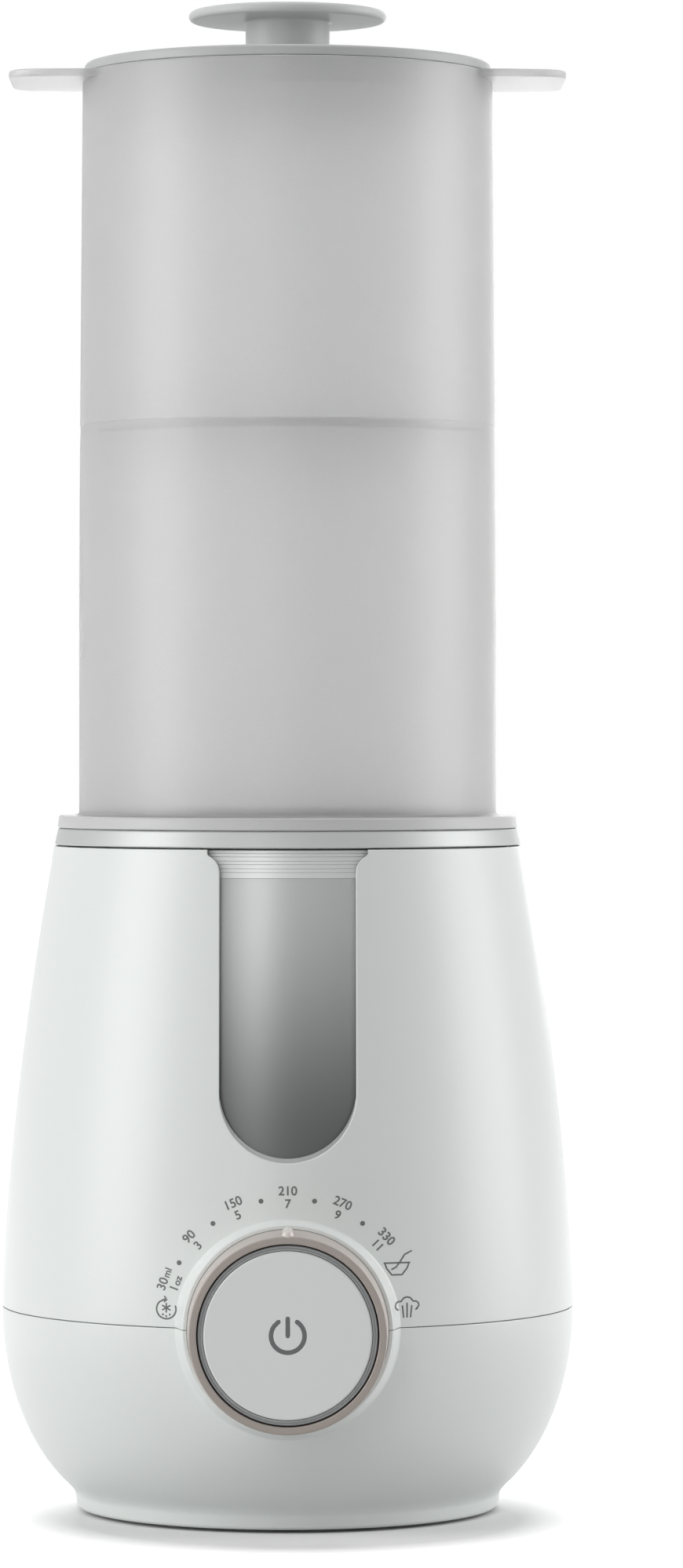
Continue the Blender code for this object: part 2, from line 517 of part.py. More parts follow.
def make_column(body):
    """Model the steam column with its ears, its two trays and the lid with its knob."""
    outside = [(column_radius(z), z) for z in spaced(COLUMN_TOP, COLUMN_STRAIGHT_Z, 4)]
    flange = [(COLUMN_R, FLANGE_TOP), (FLANGE_TOP_R, FLANGE_TOP), (FLANGE_R, FLANGE_LOW),
              (SPIGOT_R, FLANGE_LOW), (SPIGOT_TIP_R, SPIGOT_Z)]
    lower_ledge = [(LOWER_LEDGE_R, SPIGOT_Z), (LOWER_LEDGE_R, LOWER_LEDGE_TOP),
                   (COLUMN_R - COLUMN_WALL, LOWER_LEDGE_TOP)]
    upper_ledge = [(column_radius(z) - COLUMN_WALL, z) for z in (COLUMN_STRAIGHT_Z, UPPER_LEDGE_LOW - 0.002)]
    upper_ledge += [(UPPER_LEDGE_R, UPPER_LEDGE_LOW), (UPPER_LEDGE_R, UPPER_LEDGE_TOP)]
    inside = [(column_radius(z) - COLUMN_WALL, z) for z in spaced(UPPER_LEDGE_TOP, COLUMN_TOP, 2)]
    column = add_piece("steam_column", turned(outside + flange + lower_ledge + upper_ledge + inside, FINE),
                       body, "frosted_polypropylene")
    ears = add_helper("column_ears", prism(ear_outline(), EAR_LOW, EAR_TOP), body)
    middle_of_wall = COLUMN_TOP_R - COLUMN_WALL / 2
    between = add_helper("between_ears", prism(disc(0.0, 0.0, middle_of_wall, FINE), EAR_LOW - WALL,
                                               EAR_TOP + WALL), body)
    combine(ears, between, "DIFFERENCE")
    combine(column, ears, "UNION")

    for name, radius, seat in (("lower_tray", LOWER_TRAY_R, LOWER_LEDGE_TOP),
                               ("upper_tray", UPPER_TRAY_R, UPPER_LEDGE_TOP)):
        low = seat + GAP
        tray = add_piece(name, prism(disc(0.0, 0.0, radius, FINE), low, low + TRAY_SHEET), body,
                         "grey_polypropylene")
        places = [on_circle(ring_r, 360.0 * k / count) for ring_r, count in TRAY_HOLE_RINGS
                  for k in range(count)]
        holes = round_holes(places, TRAY_HOLE_R, low - WALL, low + WALL)
        combine(tray, add_helper(name + "_holes", holes, body), "DIFFERENCE")

    add_piece("lid", turned(
        [(LID_R - 0.0012, LID_TOP), (LID_R, LID_TOP - 0.0012), (LID_R, LID_LOW), (LID_SKIRT_R, LID_LOW),
         (LID_SKIRT_R, LID_SKIRT_Z), (LID_SKIRT_R - LID_SKIRT_WALL, LID_SKIRT_Z),
         (LID_SKIRT_R - LID_SKIRT_WALL, LID_LOW), (LID_SCREW_HOLE_R, LID_LOW), (LID_SCREW_HOLE_R, LID_TOP)],
        FINE), body, "grey_polypropylene")
    middle = (KNOB_DISC_LOW + KNOB_TOP) / 2
    rounding = (KNOB_TOP - KNOB_DISC_LOW) / 2
    rim = [(KNOB_R - rounding + rounding * math.sin(a), middle + rounding * math.cos(a))
           for a in spaced(0.0, math.pi, 5)]
    add_piece("lid_knob", turned(
        [(0.0, KNOB_TOP)] + rim + [(KNOB_STEM_R, KNOB_DISC_LOW), (KNOB_STEM_R, KNOB_LOW),
                                   (LID_SCREW_HOLE_R, KNOB_LOW), (LID_SCREW_HOLE_R, LID_SCREW_TIP + GAP),
                                   (0.0, LID_SCREW_TIP + GAP)], MEDIUM), body, "grey_polypropylene")
    add_screw("lid_knob_screw", body, (0.0, 0.0), LID_LOW - GAP - SCREW_HEAD, LID_SCREW_TIP,
              LID_SCREW_R, 2 * LID_SCREW_R)


def ear_outline():
    """Return the plate that both of the column's ears are cut from."""
    reach, half = EAR_REACH - EAR_CORNER_R, EAR_HALF - EAR_CORNER_R
    outline = []
    for corner, (x, y) in enumerate(((reach, half), (-reach, half), (-reach, -half), (reach, -half))):
        for a in spaced(corner * math.pi / 2, (corner + 1) * math.pi / 2, 6):
            outline.append((x + EAR_CORNER_R * math.cos(a), y + EAR_CORNER_R * math.sin(a)))
    return outline


def gear_outline(teeth, first_tooth, root_share, tip_share):
    """Return a spur gear's outline, with straight-sided teeth that leave some backlash."""
    pitch_r = teeth * GEAR_MODULE / 2
    root_r, tip_r = pitch_r - 1.4 * GEAR_MODULE, pitch_r + GEAR_MODULE
    turn = math.tau / teeth
    outline = []
    for tooth in range(teeth):
        centre = first_tooth + tooth * turn
        for radius, share in ((root_r, -root_share), (tip_r, -tip_share), (tip_r, tip_share),
                              (root_r, root_share)):
            angle = centre + share * turn
            outline.append((radius * math.cos(angle), radius * math.sin(angle)))
    return outline


def make_dial(dial_axis, pinion_axis):
    """Model the dial ring with its pointer and gear, and the encoder's pinion that the gear drives."""
    ring = add_piece("dial_ring", turned(
        [(DIAL_R - 0.0004, DIAL_FRONT), (DIAL_R, DIAL_FRONT - 0.0004), (DIAL_BACK_R, BOSS_FRONT),
         (DIAL_BACK_R, DIAL_SLEEVE_BACK), (DIAL_BORE_R, DIAL_SLEEVE_BACK), (DIAL_BORE_R, DIAL_FRONT)], FINE),
        dial_axis, "taupe_soft_touch")
    seat = round_holes([(0.0, POINTER_RING_R)], POINTER_R + GAP, POINTER_BACK - GAP, DIAL_FRONT + WALL)
    combine(ring, add_helper("pointer_seat", seat, dial_axis), "DIFFERENCE")
    nose = DIAL_FRONT - POINTER_R
    dome = [(POINTER_R * math.sin(a), nose + POINTER_R * math.cos(a)) for a in spaced(0.0, math.pi / 2, 4)]
    pointer = add_piece("dial_pointer", turned(dome + [(POINTER_R, POINTER_BACK), (0.0, POINTER_BACK)], 12),
                        dial_axis, "silver_lacquer")
    pointer.location = (0.0, POINTER_RING_R, 0.0)

    gear = add_piece("dial_gear", prism(gear_outline(GEAR_TEETH, PINION_ANGLE, 0.30, 0.14),
                                        GEAR_BACK, GEAR_FRONT), dial_axis, "black_nylon")
    combine(gear, add_helper("gear_bore", prism(disc(0.0, 0.0, DIAL_BORE_R, FINE), GEAR_BACK - WALL,
                                                GEAR_FRONT + WALL), dial_axis), "DIFFERENCE")
    facing_gap = PINION_ANGLE + math.pi + math.pi / PINION_TEETH
    pinion = add_piece("encoder_pinion", prism(gear_outline(PINION_TEETH, facing_gap, 0.26, 0.09),
                                               GEAR_BACK, GEAR_FRONT), pinion_axis, "black_nylon")
    shaft = round_holes([(0.0, 0.0)], ENCODER_SHAFT_R, ENCODER_FRONT - 0.0022, GEAR_FRONT - GAP)
    combine(pinion, add_helper("pinion_shaft", shaft, pinion_axis), "UNION")


def make_button(dial_axis):
    """Model the fixed housing in the dial, its light ring, and the sprung power button."""
    housing = add_piece("dial_housing", turned(
        [(TUBE_R, TUBE_FRONT), (TUBE_R, HOUSING_FRONT), (HOUSING_R, HOUSING_FRONT), (HOUSING_R, HOUSING_BACK),
         (HOUSING_BORE_R, HOUSING_BACK), (HOUSING_BORE_R, HOUSING_FRONT), (TUBE_BORE_R, HOUSING_FRONT),
         (TUBE_BORE_R, GUIDE_BACK), (GUIDE_R, GUIDE_BACK), (GUIDE_R, GUIDE_FRONT),
         (TUBE_BORE_R, GUIDE_FRONT), (TUBE_BORE_R, TUBE_FRONT)], MEDIUM), dial_axis, "black_nylon")
    foot_low = SCREW_LEDGE_TOP + GAP - SEAM_Z
    foot_top = foot_low + LEG_FOOT_THICK
    knee = -HOUSING_BORE_R - 0.005
    profile = [(LEG_FRONT, knee), (LEG_FRONT, foot_low), (LEG_FOOT_BACK, foot_low),
               (LEG_FOOT_BACK, foot_top), (LEG_BACK, foot_top), (LEG_BACK, knee)]
    leg = add_helper("housing_leg", prism([(height, depth) for depth, height in profile],
                                          -LEG_HALF_WIDTH, LEG_HALF_WIDTH), dial_axis)
    leg.rotation_euler = (math.pi / 2, 0.0, math.pi / 2)
    combine(housing, leg, "UNION")
    posts = round_holes(POST_PLACES, POST_R, PARTS_BACK, HOUSING_BACK + WALL / 2)
    combine(housing, add_helper("board_posts", posts, dial_axis), "UNION")
    holes = round_holes(POST_PLACES, SCREW_R + GAP, BOARD_BACK, HOUSING_FRONT - WALL / 2)
    combine(housing, add_helper("board_post_holes", holes, dial_axis), "DIFFERENCE")
    foot_holes = bmesh.new()
    for side in (-1, 1):
        add_prism(foot_holes, disc(side * LEG_SCREW_X, -LEG_SCREW_DEPTH, SCREW_HOLE_R, SMALL),
                  foot_low - WALL, foot_top + WALL)
    cutter = add_helper("leg_foot_holes", foot_holes, dial_axis)
    cutter.rotation_euler = (-math.pi / 2, 0.0, 0.0)
    combine(housing, cutter, "DIFFERENCE")
    for number, side in enumerate((-1, 1), start=1):
        screw = add_screw(f"housing_screw_{number}", dial_axis, (0.0, 0.0), 0.0,
                          SCREW_HEAD + GAP + LEG_FOOT_THICK + 0.0035)
        screw.location = (side * LEG_SCREW_X, foot_top + GAP + SCREW_HEAD, LEG_SCREW_DEPTH)
        screw.rotation_euler = (math.pi / 2, 0.0, 0.0)

    add_piece("light_ring", turned(
        [(TUBE_R - 0.0003, LIGHT_RING_FRONT), (TUBE_R, LIGHT_RING_FRONT - 0.0003), (TUBE_R, TUBE_FRONT + GAP),
         (LIGHT_RING_BORE_R, TUBE_FRONT + GAP), (LIGHT_RING_BORE_R, LIGHT_RING_FRONT)], FINE),
        dial_axis, "grey_light_guide")
    inside = BUTTON_FRONT - BUTTON_SHEET
    skirt_bore = BUTTON_SKIRT_R - 0.0018
    add_piece("power_button", turned(
        [(0.0, BUTTON_FRONT), (BUTTON_R - 0.0006, BUTTON_FRONT), (BUTTON_R, BUTTON_FRONT - 0.0006),
         (BUTTON_R, BUTTON_BACK), (BUTTON_SKIRT_R, BUTTON_BACK), (BUTTON_SKIRT_R, BUTTON_SKIRT_BACK),
         (skirt_bore, BUTTON_SKIRT_BACK), (skirt_bore, inside), (BUTTON_STEM_R, inside),
         (BUTTON_STEM_R, BUTTON_STEM_BACK), (0.0, BUTTON_STEM_BACK)], MEDIUM), dial_axis, "light_grey_abs")
    low = GUIDE_FRONT + GAP + SPRING_WIRE_R
    high = inside - GAP - SPRING_WIRE_R
    coil = [(SPRING_R * math.cos(math.tau * SPRING_TURNS * t), SPRING_R * math.sin(math.tau * SPRING_TURNS * t),
             low + (high - low) * t) for t in spaced(0.0, 1.0, 8 * SPRING_TURNS + 1)]
    add_tube("button_spring", coil, SPRING_WIRE_R, dial_axis, "steel", 1)
    add_piece("switch_plunger", prism(disc(0.0, 0.0, PLUNGER_R, 12), PLUNGER_BACK, BUTTON_STEM_BACK - GAP),
              dial_axis, "black_nylon")


def make_board(dial_axis, pinion_axis):
    """Model the control board with its switch, encoder, indicator lamp and screws."""
    board = add_piece("control_board", prism(rectangle(-BOARD_HALF_WIDTH, BOARD_LOW, BOARD_HALF_WIDTH,
                                                       BOARD_HIGH), BOARD_BACK, BOARD_FRONT),
                      dial_axis, "circuit_board")
    holes = round_holes(POST_PLACES, SCREW_HOLE_R, BOARD_BACK - WALL, BOARD_FRONT + WALL)
    combine(board, add_helper("board_holes", holes, dial_axis), "DIFFERENCE")
    for number, place in enumerate(POST_PLACES, start=1):
        add_screw(f"board_screw_{number}", dial_axis, place, BOARD_BACK - GAP - SCREW_HEAD,
                  HOUSING_FRONT - WALL / 2 - GAP)
    switch = add_piece("button_switch", prism(rectangle(-SWITCH_HALF, -SWITCH_HALF, SWITCH_HALF, SWITCH_HALF),
                                              PARTS_BACK, SWITCH_FRONT), dial_axis, "black_nylon")
    pocket = round_holes([(0.0, 0.0)], SWITCH_POCKET_R, SWITCH_POCKET_BACK, SWITCH_FRONT + WALL)
    combine(switch, add_helper("switch_pocket", pocket, dial_axis), "DIFFERENCE")
    encoder = add_piece("dial_encoder", prism(rectangle(-ENCODER_HALF, -ENCODER_HALF, ENCODER_HALF,
                                                        ENCODER_HALF), PARTS_BACK, ENCODER_FRONT),
                        pinion_axis, "black_nylon")
    socket = round_holes([(0.0, 0.0)], ENCODER_SHAFT_R + GAP, ENCODER_FRONT - 0.0026, ENCODER_FRONT + WALL)
    combine(encoder, add_helper("encoder_socket", socket, pinion_axis), "DIFFERENCE")
    lamp = add_piece("indicator_lamp", turned(
        [(0.0, LED_FRONT), (LED_R * 0.7, LED_FRONT - 0.0006), (LED_R, LED_FRONT - 0.002), (LED_R, PARTS_BACK),
         (0.0, PARTS_BACK)], 12), dial_axis, "silicone")
    lamp.location = (0.0, LED_HEIGHT, 0.0)


def make_wiring(body, front):
    """Model the mains inlet bush, the terminal block and the leads inside the casing."""
    bush = add_piece("mains_inlet_bush", turned(
        [(INLET_OUTER_R, INLET_OUTER_Y[1]), (INLET_OUTER_R, INLET_OUTER_Y[0]),
         (INLET_BARREL_R, INLET_OUTER_Y[0]), (INLET_BARREL_R, INLET_INNER_Y[1]),
         (INLET_INNER_R, INLET_INNER_Y[1]), (INLET_INNER_R, INLET_INNER_Y[0]),
         (INLET_BORE_R, INLET_INNER_Y[0]), (INLET_BORE_R, INLET_OUTER_Y[1])], COARSE), front, "white_abs")
    bush.location = (0.0, INLET_Z, 0.0)
    bush.rotation_euler = (0.0, math.pi, 0.0)

    low = SCREW_LEDGE_TOP + GAP
    add_piece("terminal_block", prism(rectangle(-BLOCK_HALF_WIDTH, BLOCK_Y[0], BLOCK_HALF_WIDTH, BLOCK_Y[1]),
                                      low, BLOCK_TOP), body, "black_nylon")
    tails = element_route()
    block_y = (BLOCK_Y[0] + BLOCK_Y[1]) / 2
    for number, tail in enumerate((tails[0], tails[-1]), start=1):
        side = math.copysign(1.0, tail[0])
        route = [(tail[0], tail[1], tail[2] - GAP), (tail[0], tail[1], tail[2] - 0.009),
                 (side * 0.012, tail[1] + 0.008, 0.045), (side * 0.007, block_y, 0.032),
                 (side * 0.007, block_y, BLOCK_TOP + GAP)]
        add_tube(f"heater_lead_{number}", smooth_route(route), LEAD_R, body, "silicone", 1)
    sensor_low = HEATER_TOP - HEATER_SHEET - 2 * GAP - 0.006
    board_y = -(BOARD_BACK - GAP)
    route = [(0.0, -SENSOR_RING_R, sensor_low), (0.0, -SENSOR_RING_R, sensor_low - 0.008),
             (0.0, -0.026, 0.058), (0.0, -0.033, 0.052), (0.0, board_y, 0.051)]
    add_tube("sensor_lead", smooth_route(route), LEAD_R, body, "silicone", 1)


def main():
    """Build the whole warmer."""
    clear_scene()
    body = add_axis("body_axis", None, (0.0, AXIS_Y, 0.0))
    front = add_axis("front_view", body, (0.0, 0.0, 0.0), (math.pi / 2, 0.0, 0.0))
    dial_axis = add_axis("dial_axis", front, (0.0, SEAM_Z, 0.0))
    distance = (GEAR_TEETH + PINION_TEETH) * GEAR_MODULE / 2
    pinion_axis = add_axis("pinion_axis", dial_axis, (distance * math.cos(PINION_ANGLE),
                                                      distance * math.sin(PINION_ANGLE), 0.0))
    make_casing(body, front, dial_axis)
    make_underside(body)
    make_chamber(body)
    make_column(body)
    make_dial(dial_axis, pinion_axis)
    make_button(dial_axis)
    make_board(dial_axis, pinion_axis)
    make_wiring(body, front)


main()
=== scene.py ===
"""Looks of a bottle and baby-food warmer with a lift-off steam column.

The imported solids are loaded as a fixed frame. Every solid that shows is replaced by a finely
modelled piece, every piece gets a procedural material, and a studio stage lights the whole.
Metres, +Z up; the front faces -Y. Radii and depths are taken from the body's upright axis,
depths towards the front.
"""
import math

import bmesh
import bpy
from mathutils import Matrix, Vector


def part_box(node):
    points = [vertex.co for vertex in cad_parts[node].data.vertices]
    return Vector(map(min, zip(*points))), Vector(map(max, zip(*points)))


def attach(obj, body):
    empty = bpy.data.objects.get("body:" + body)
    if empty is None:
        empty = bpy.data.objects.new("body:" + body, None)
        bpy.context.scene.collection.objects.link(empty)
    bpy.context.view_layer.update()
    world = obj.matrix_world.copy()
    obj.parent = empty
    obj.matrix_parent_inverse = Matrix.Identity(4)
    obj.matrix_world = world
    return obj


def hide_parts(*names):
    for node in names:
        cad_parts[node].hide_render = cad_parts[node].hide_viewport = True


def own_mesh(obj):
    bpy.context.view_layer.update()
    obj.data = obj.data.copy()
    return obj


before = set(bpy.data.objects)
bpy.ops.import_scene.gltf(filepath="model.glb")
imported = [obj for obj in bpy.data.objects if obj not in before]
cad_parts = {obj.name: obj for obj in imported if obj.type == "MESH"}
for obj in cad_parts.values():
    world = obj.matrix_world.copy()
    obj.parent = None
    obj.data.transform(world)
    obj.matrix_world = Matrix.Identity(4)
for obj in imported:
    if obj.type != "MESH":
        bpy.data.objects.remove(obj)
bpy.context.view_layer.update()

bl_info = {
    "name": "Bottle warmer",
    "version": (1, 0, 0),
    "blender": (4, 5, 0),
    "location": "3D View > Sidebar > Warmer",
    "description": "Models a bottle warmer with a steam column round its solids",
    "category": "Add Mesh",
}


def middle(node):
    """Return the middle of a CAD node's box."""
    low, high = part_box(node)
    return (low + high) / 2


def heights(node):
    """Return the lowest and highest height of a CAD node."""
    low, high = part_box(node)
    return low.z, high.z


def radius_of(node):
    """Return half the width of a round CAD node."""
    low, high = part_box(node)
    return (high.x - low.x) / 2


def depths(node):
    """Return the back and front depth of a CAD node."""
    low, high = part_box(node)
    return AXIS.y - high.y, AXIS.y - low.y


# Places that the frame gives
AXIS = middle("collar_ring")
SEAM_Z = middle("dial_ring").z
BODY_R = radius_of("lower_shell")
RIM_Z = heights("upper_shell")[1]
FOOT_Z = heights("lower_shell")[0]
INLET_Z = middle("mains_inlet_bush").z

# How finely round shapes are stepped
STEPS_BODY, STEPS_ROUND, STEPS_SMALL = 256, 192, 48
ROUND_SEGMENTS = 5
MERGE = 1e-6
SHARP = math.radians(38.0)

# Roundings of edges, from a hair's breadth to broad
HAIR, FINE, CRISP, SOFT, FULL, BROAD = 0.0001, 0.0002, 0.0003, 0.0004, 0.0005, 0.0006

# Patches of the casing's skin that are opened for the window, the boss and the inlet: margins and half angles
WINDOW_MARGIN, WINDOW_ANGLE = 0.0045, math.radians(24.0)
BOSS_MARGIN, BOSS_ANGLE = 0.0025, math.radians(27.5)
INLET_BELOW, INLET_ABOVE, INLET_ANGLE = 0.0105, 0.0095, math.radians(10.0)

# Rounding at the mouth of the boss's bore, and the depth where the bore ends
BOSS_LIP, BOSS_BACK = 0.00015, 0.0600

# Half angles of the cup's smoky front and of the pane, and the heights of the grooves on the pane's rim
CUP_FRONT, PANE_HALF = math.radians(20.0), math.radians(20.5)
GROOVES = (0.1617, 0.1609, 0.1599, 0.1591, 0.1581, 0.1572)

# Heights between which the painted shade, darkest at the cup's foot, fades into the cup's smoky tint
PAINTED_SHADE_LOW, PAINTED_SHADE_TOP = 0.090, 0.157

# Radii where the pressed rings of the heater plate start
HEATER_RINGS = (0.012, 0.024)

# Exponent of the curve by which the column tapers
COLUMN_TAPER = 1.3

# Room between a tray and the ledge under it
SEAT_GAP = 0.0003

# Rings of holes in a tray: radius and count
TRAY_HOLES = ((0.0145, 5), (0.0310, 10))

# Volumes on the dial's scale in millilitres and in ounces, and the place of the one at the top among them
VOLUMES, OUNCES, TOP_VOLUME = range(30, 331, 60), range(1, 12, 2), 3

# Shares of a stroke's half width at which its round end is stepped
STROKE_TIP = (0.5, 0.8, 0.97)

# The floor's own white, held back round the object's foot so that the floor there shows a painted contact
# shadow, set off towards the front, over the real one: its share round that shadow, the painted shadow's
# middle, and the distances from there between which the share sets in and grows to full white
FLOOR_LIFT = 0.44
PAINTED_SHADOW_MIDDLE = (0.003, -0.016, 0.0)
PAINTED_SHADOW_FADE, LIFT_FAR = (0.053, 0.069), (0.15, 0.9)

# The studio's lamps: name, place, point faced, width, height and power in watts
LAMPS = (
    ("left_softbox", (-1.24, -0.41, 0.35), (0.0, 0.0, 0.17), 0.7, 1.4, 12.8),
    ("front_strip", (-0.38, -1.44, 0.45), (0.0, 0.0, 0.15), 0.28, 0.6, 2.1),
    ("right_softbox", (1.31, 0.06, 0.35), (0.0, 0.0, 0.17), 0.8, 1.4, 12.5),
    ("back_softbox", (0.25, 1.45, 0.50), (0.0, 0.0, 0.15), 0.8, 0.8, 3.6),
    ("top_softbox", (0.0, 0.10, 1.60), (0.0, 0.0, 0.0), 1.0, 1.0, 7.0),
)

ON_AXIS = Matrix.Translation((AXIS.x, AXIS.y, 0.0))
ON_DIAL = Matrix.Translation((AXIS.x, AXIS.y, SEAM_Z)) @ Matrix.Rotation(math.pi / 2, 4, "X")


def linear(code):
    """Turn an sRGB hex colour into linear red, green and blue."""
    shares = [int(code[place:place + 2], 16) / 255 for place in (1, 3, 5)]
    return tuple(s / 12.92 if s <= 0.04045 else ((s + 0.055) / 1.055) ** 2.4 for s in shares)


def length(name, description, default):
    """Return a property that holds a size in metres."""
    return bpy.props.FloatProperty(name=name, description=description, default=default,
                                   unit="LENGTH", precision=5)


def colour(name, description, code):
    """Return a property that holds a surface colour."""
    return bpy.props.FloatVectorProperty(name=name, description=description, default=linear(code),
                                         subtype="COLOR", size=3, min=0.0, max=1.0)


class CasingSizes(bpy.types.PropertyGroup):
    """Sizes of the two white shells, their window and the boss round the dial."""
    wall: length("Wall", "Thickness of the moulded shells", 0.0010)
    rim_radius: length("Rim radius", "Outside radius at the rim", 0.0572)
    taper: bpy.props.FloatProperty(name="Taper", default=1.55,
                                   description="Exponent of the curve from seam to rim")
    edge: length("Edge", "Rounding of the seam's and the rim's edges", 0.00025)
    seam: length("Seam", "Gap between the two shells", 0.00013)
    window_half: length("Window half width", "Half the width of the window", 0.01615)
    window_low: length("Window foot", "Height of the lowest point of the window", 0.0891)
    flare_half: length("Mouth half width", "Half the width of the window's flared mouth", 0.0190)
    shoulder: length("Shoulder", "Radius of the flare", 0.0043)
    shoulder_z: length("Shoulder height", "Height where the flare starts", 0.1572)
    lip: length("Window lip", "Rounding of the window's edge", 0.0003)
    jamb: length("Jamb", "How deep the window's jamb reaches behind the skin", 0.0023)
    bowl_middle: length("Bowl middle", "Radius that the bowl's quarter ellipse is struck from", 0.0380)
    bowl_drop: length("Bowl drop", "Height of the bowl's quarter ellipse", 0.0500)
    neck_z: length("Neck", "Height where the bowl starts to turn into the foot", 0.0072)
    foot_top: length("Foot top", "Radius of the foot below the neck", 0.0520)
    foot_top_z: length("Foot top height", "Height of the crease over the foot", 0.0050)
    foot_radius: length("Foot radius", "Radius of the foot near the floor", 0.0516)
    foot_bore: length("Foot bore", "Inside radius of the foot", 0.0492)
    boss_front: length("Boss front", "Depth of the boss's face", 0.0710)
    boss_radius: length("Boss radius", "Radius of the boss's edge", 0.0249)
    boss_bore: length("Boss bore", "Radius of the hole that the dial turns in", 0.02371)
    boss_root: length("Boss root", "Radius where the boss has run out into the shell", 0.0272)
    boss_patch: length("Boss patch", "Radius of the patch of skin that the boss is drawn from", 0.0300)
    boss_slope: bpy.props.FloatProperty(name="Boss slope", default=5.0,
                                        description="Rise of the boss's flank over its run")
    boss_blend: length("Boss blend", "How softly the boss runs into the shell", 0.0026)
    boss_crest: length("Boss crest", "How softly the boss's flank turns into its face", 0.0020)


class ChamberSizes(bpy.types.PropertyGroup):
    """Sizes of the collar, the water cup, the window's pane and sill, and the heater plate."""
    collar_low: length("Collar foot", "Height of the collar's lower edge", 0.1629)
    collar_radius: length("Collar radius", "Outside radius at the lower edge", 0.0571)
    collar_top: length("Collar top radius", "Outside radius at the upper edge", 0.0562)
    collar_bore: length("Collar bore", "Inside radius of the collar", 0.0494)
    skirt: length("Collar skirt", "Outside radius of the skirt inside the cup", 0.0514)
    cup_radius: length("Cup radius", "Outside radius of the cup", 0.0540)
    cup_wall: length("Cup wall", "Thickness of the cup's wall", 0.0022)
    cup_floor: length("Cup floor", "Height of the cup's underside", 0.0840)
    cup_band: length("Pane band", "Height where the grooved band at the pane's rim starts", 0.1558)
    groove: length("Groove", "Depth of the fine grooves on that band", 0.00007)
    pane_sink: length("Pane sink", "How far the window's pane lies behind the casing's skin", 0.0022)
    pane_wall: length("Pane wall", "Thickness of the pane", 0.0010)
    # The sill's grey is painted shade in the window's recessed foot
    sill: length("Sill", "Height of the grey sill at the window's foot", 0.0010)
    cup_hole: length("Cup hole", "Radius of the hole that the heater plate closes", 0.0400)
    plate_radius: length("Heater radius", "Radius of the raised heater plate", 0.0385)
    plate_sheet: length("Heater sheet", "Thickness of the heater's metal sheet", 0.0014)


class ColumnSizes(bpy.types.PropertyGroup):
    """Sizes of the steam column, its trays and its lid."""
    radius: length("Column radius", "Outside radius at the foot", 0.0511)
    top_radius: length("Column top radius", "Outside radius at the top", 0.05015)
    straight_z: length("Straight part", "Height where the column starts to taper", 0.2180)
    wall: length("Column wall", "Thickness of the column's wall", 0.0018)
    flange_low: length("Flange foot", "Height of the flange's lower face", 0.1671)
    flange_top: length("Flange top", "Height of the flange's upper face", 0.1701)
    flange_radius: length("Flange radius", "Radius of the flange", 0.0564)
    spigot: length("Spigot", "Radius of the rim that stands in the collar", 0.0489)
    spigot_tip: length("Spigot tip", "Radius of that rim at its lower end", 0.0464)
    lower_ledge: length("Lower ledge", "Inside radius of the ledge under the lower tray", 0.0446)
    upper_ledge: length("Upper ledge", "Inside radius of the ledge under the upper tray", 0.0477)
    ledge: length("Ledge", "Thickness of the upper ledge", 0.0003)
    step: length("Step", "How far the wall steps in below the upper tray's line", 0.00012)
    ear_half: length("Ear half width", "Half the width of an ear", 0.0189)
    ear_corner: length("Ear corner", "Radius of an ear's corners", 0.0075)
    ear_low: length("Ear foot", "Height of an ear's underside", 0.3493)
    ear_top: length("Ear top", "Height of an ear's upper side", 0.3512)
    tray_hole: length("Tray hole", "Radius of a tray's holes", 0.0040)
    lid_low: length("Lid foot", "Height of the lid's underside", 0.3514)
    lid_skirt: length("Lid skirt", "Radius of the skirt inside the column", 0.0472)
    stem: length("Knob stem", "Radius of the knob's stem", 0.0103)
    disc_low: length("Knob disc", "Height of the disc's underside", 0.3644)


class DialSizes(bpy.types.PropertyGroup):
    """Sizes of the dial, the button and the print round them."""
    face: length("Dial face", "Outside radius of the dial's face", 0.02315)
    back: length("Dial back", "Outside radius where the dial enters the casing", 0.02365)
    bore: length("Dial bore", "Inside radius of the dial", 0.0213)
    nub: length("Nub", "Radius of the pointer nub", 0.00135)
    nub_ring: length("Nub ring", "Radius at which the nub sits", 0.0232)
    skirt: length("Button skirt", "Radius of the button's skirt", 0.0186)
    stem: length("Button stem", "Radius of the button's stem", 0.0026)
    sign: length("Power sign", "Radius of the power sign's ring", 0.0039)
    sign_stroke: length("Power stroke", "Width of the power sign's strokes", 0.00108)
    print_height: length("Print height", "How far printed marks stand off the surface", 0.00004)
    figure: length("Figure size", "Type size of the volumes in millilitres", 0.0030)
    ounce: length("Ounce size", "Type size of the volumes in ounces", 0.0029)
    bold: length("Boldness", "How far the figures' strokes are widened", 0.00005)
    figure_ring: length("Figure ring", "Radius of the ring of volumes", 0.0324)
    ounce_ring: length("Ounce ring", "Radius of the ring of ounces", 0.0294)
    dot_ring: length("Dot ring", "Radius of the ring of dots", 0.0308)
    dot: length("Dot", "Radius of a dot", 0.00058)
    stroke: length("Sign stroke", "Width of the strokes of the small signs", 0.00040)
    step: bpy.props.FloatProperty(name="Scale step", description="Turn from one volume to the next",
                                  default=math.radians(23.6), subtype="ANGLE")
    wrap: bpy.props.FloatProperty(name="Wrap", default=0.043,
                                  description="Share by which the rings draw in as they wrap round the body")


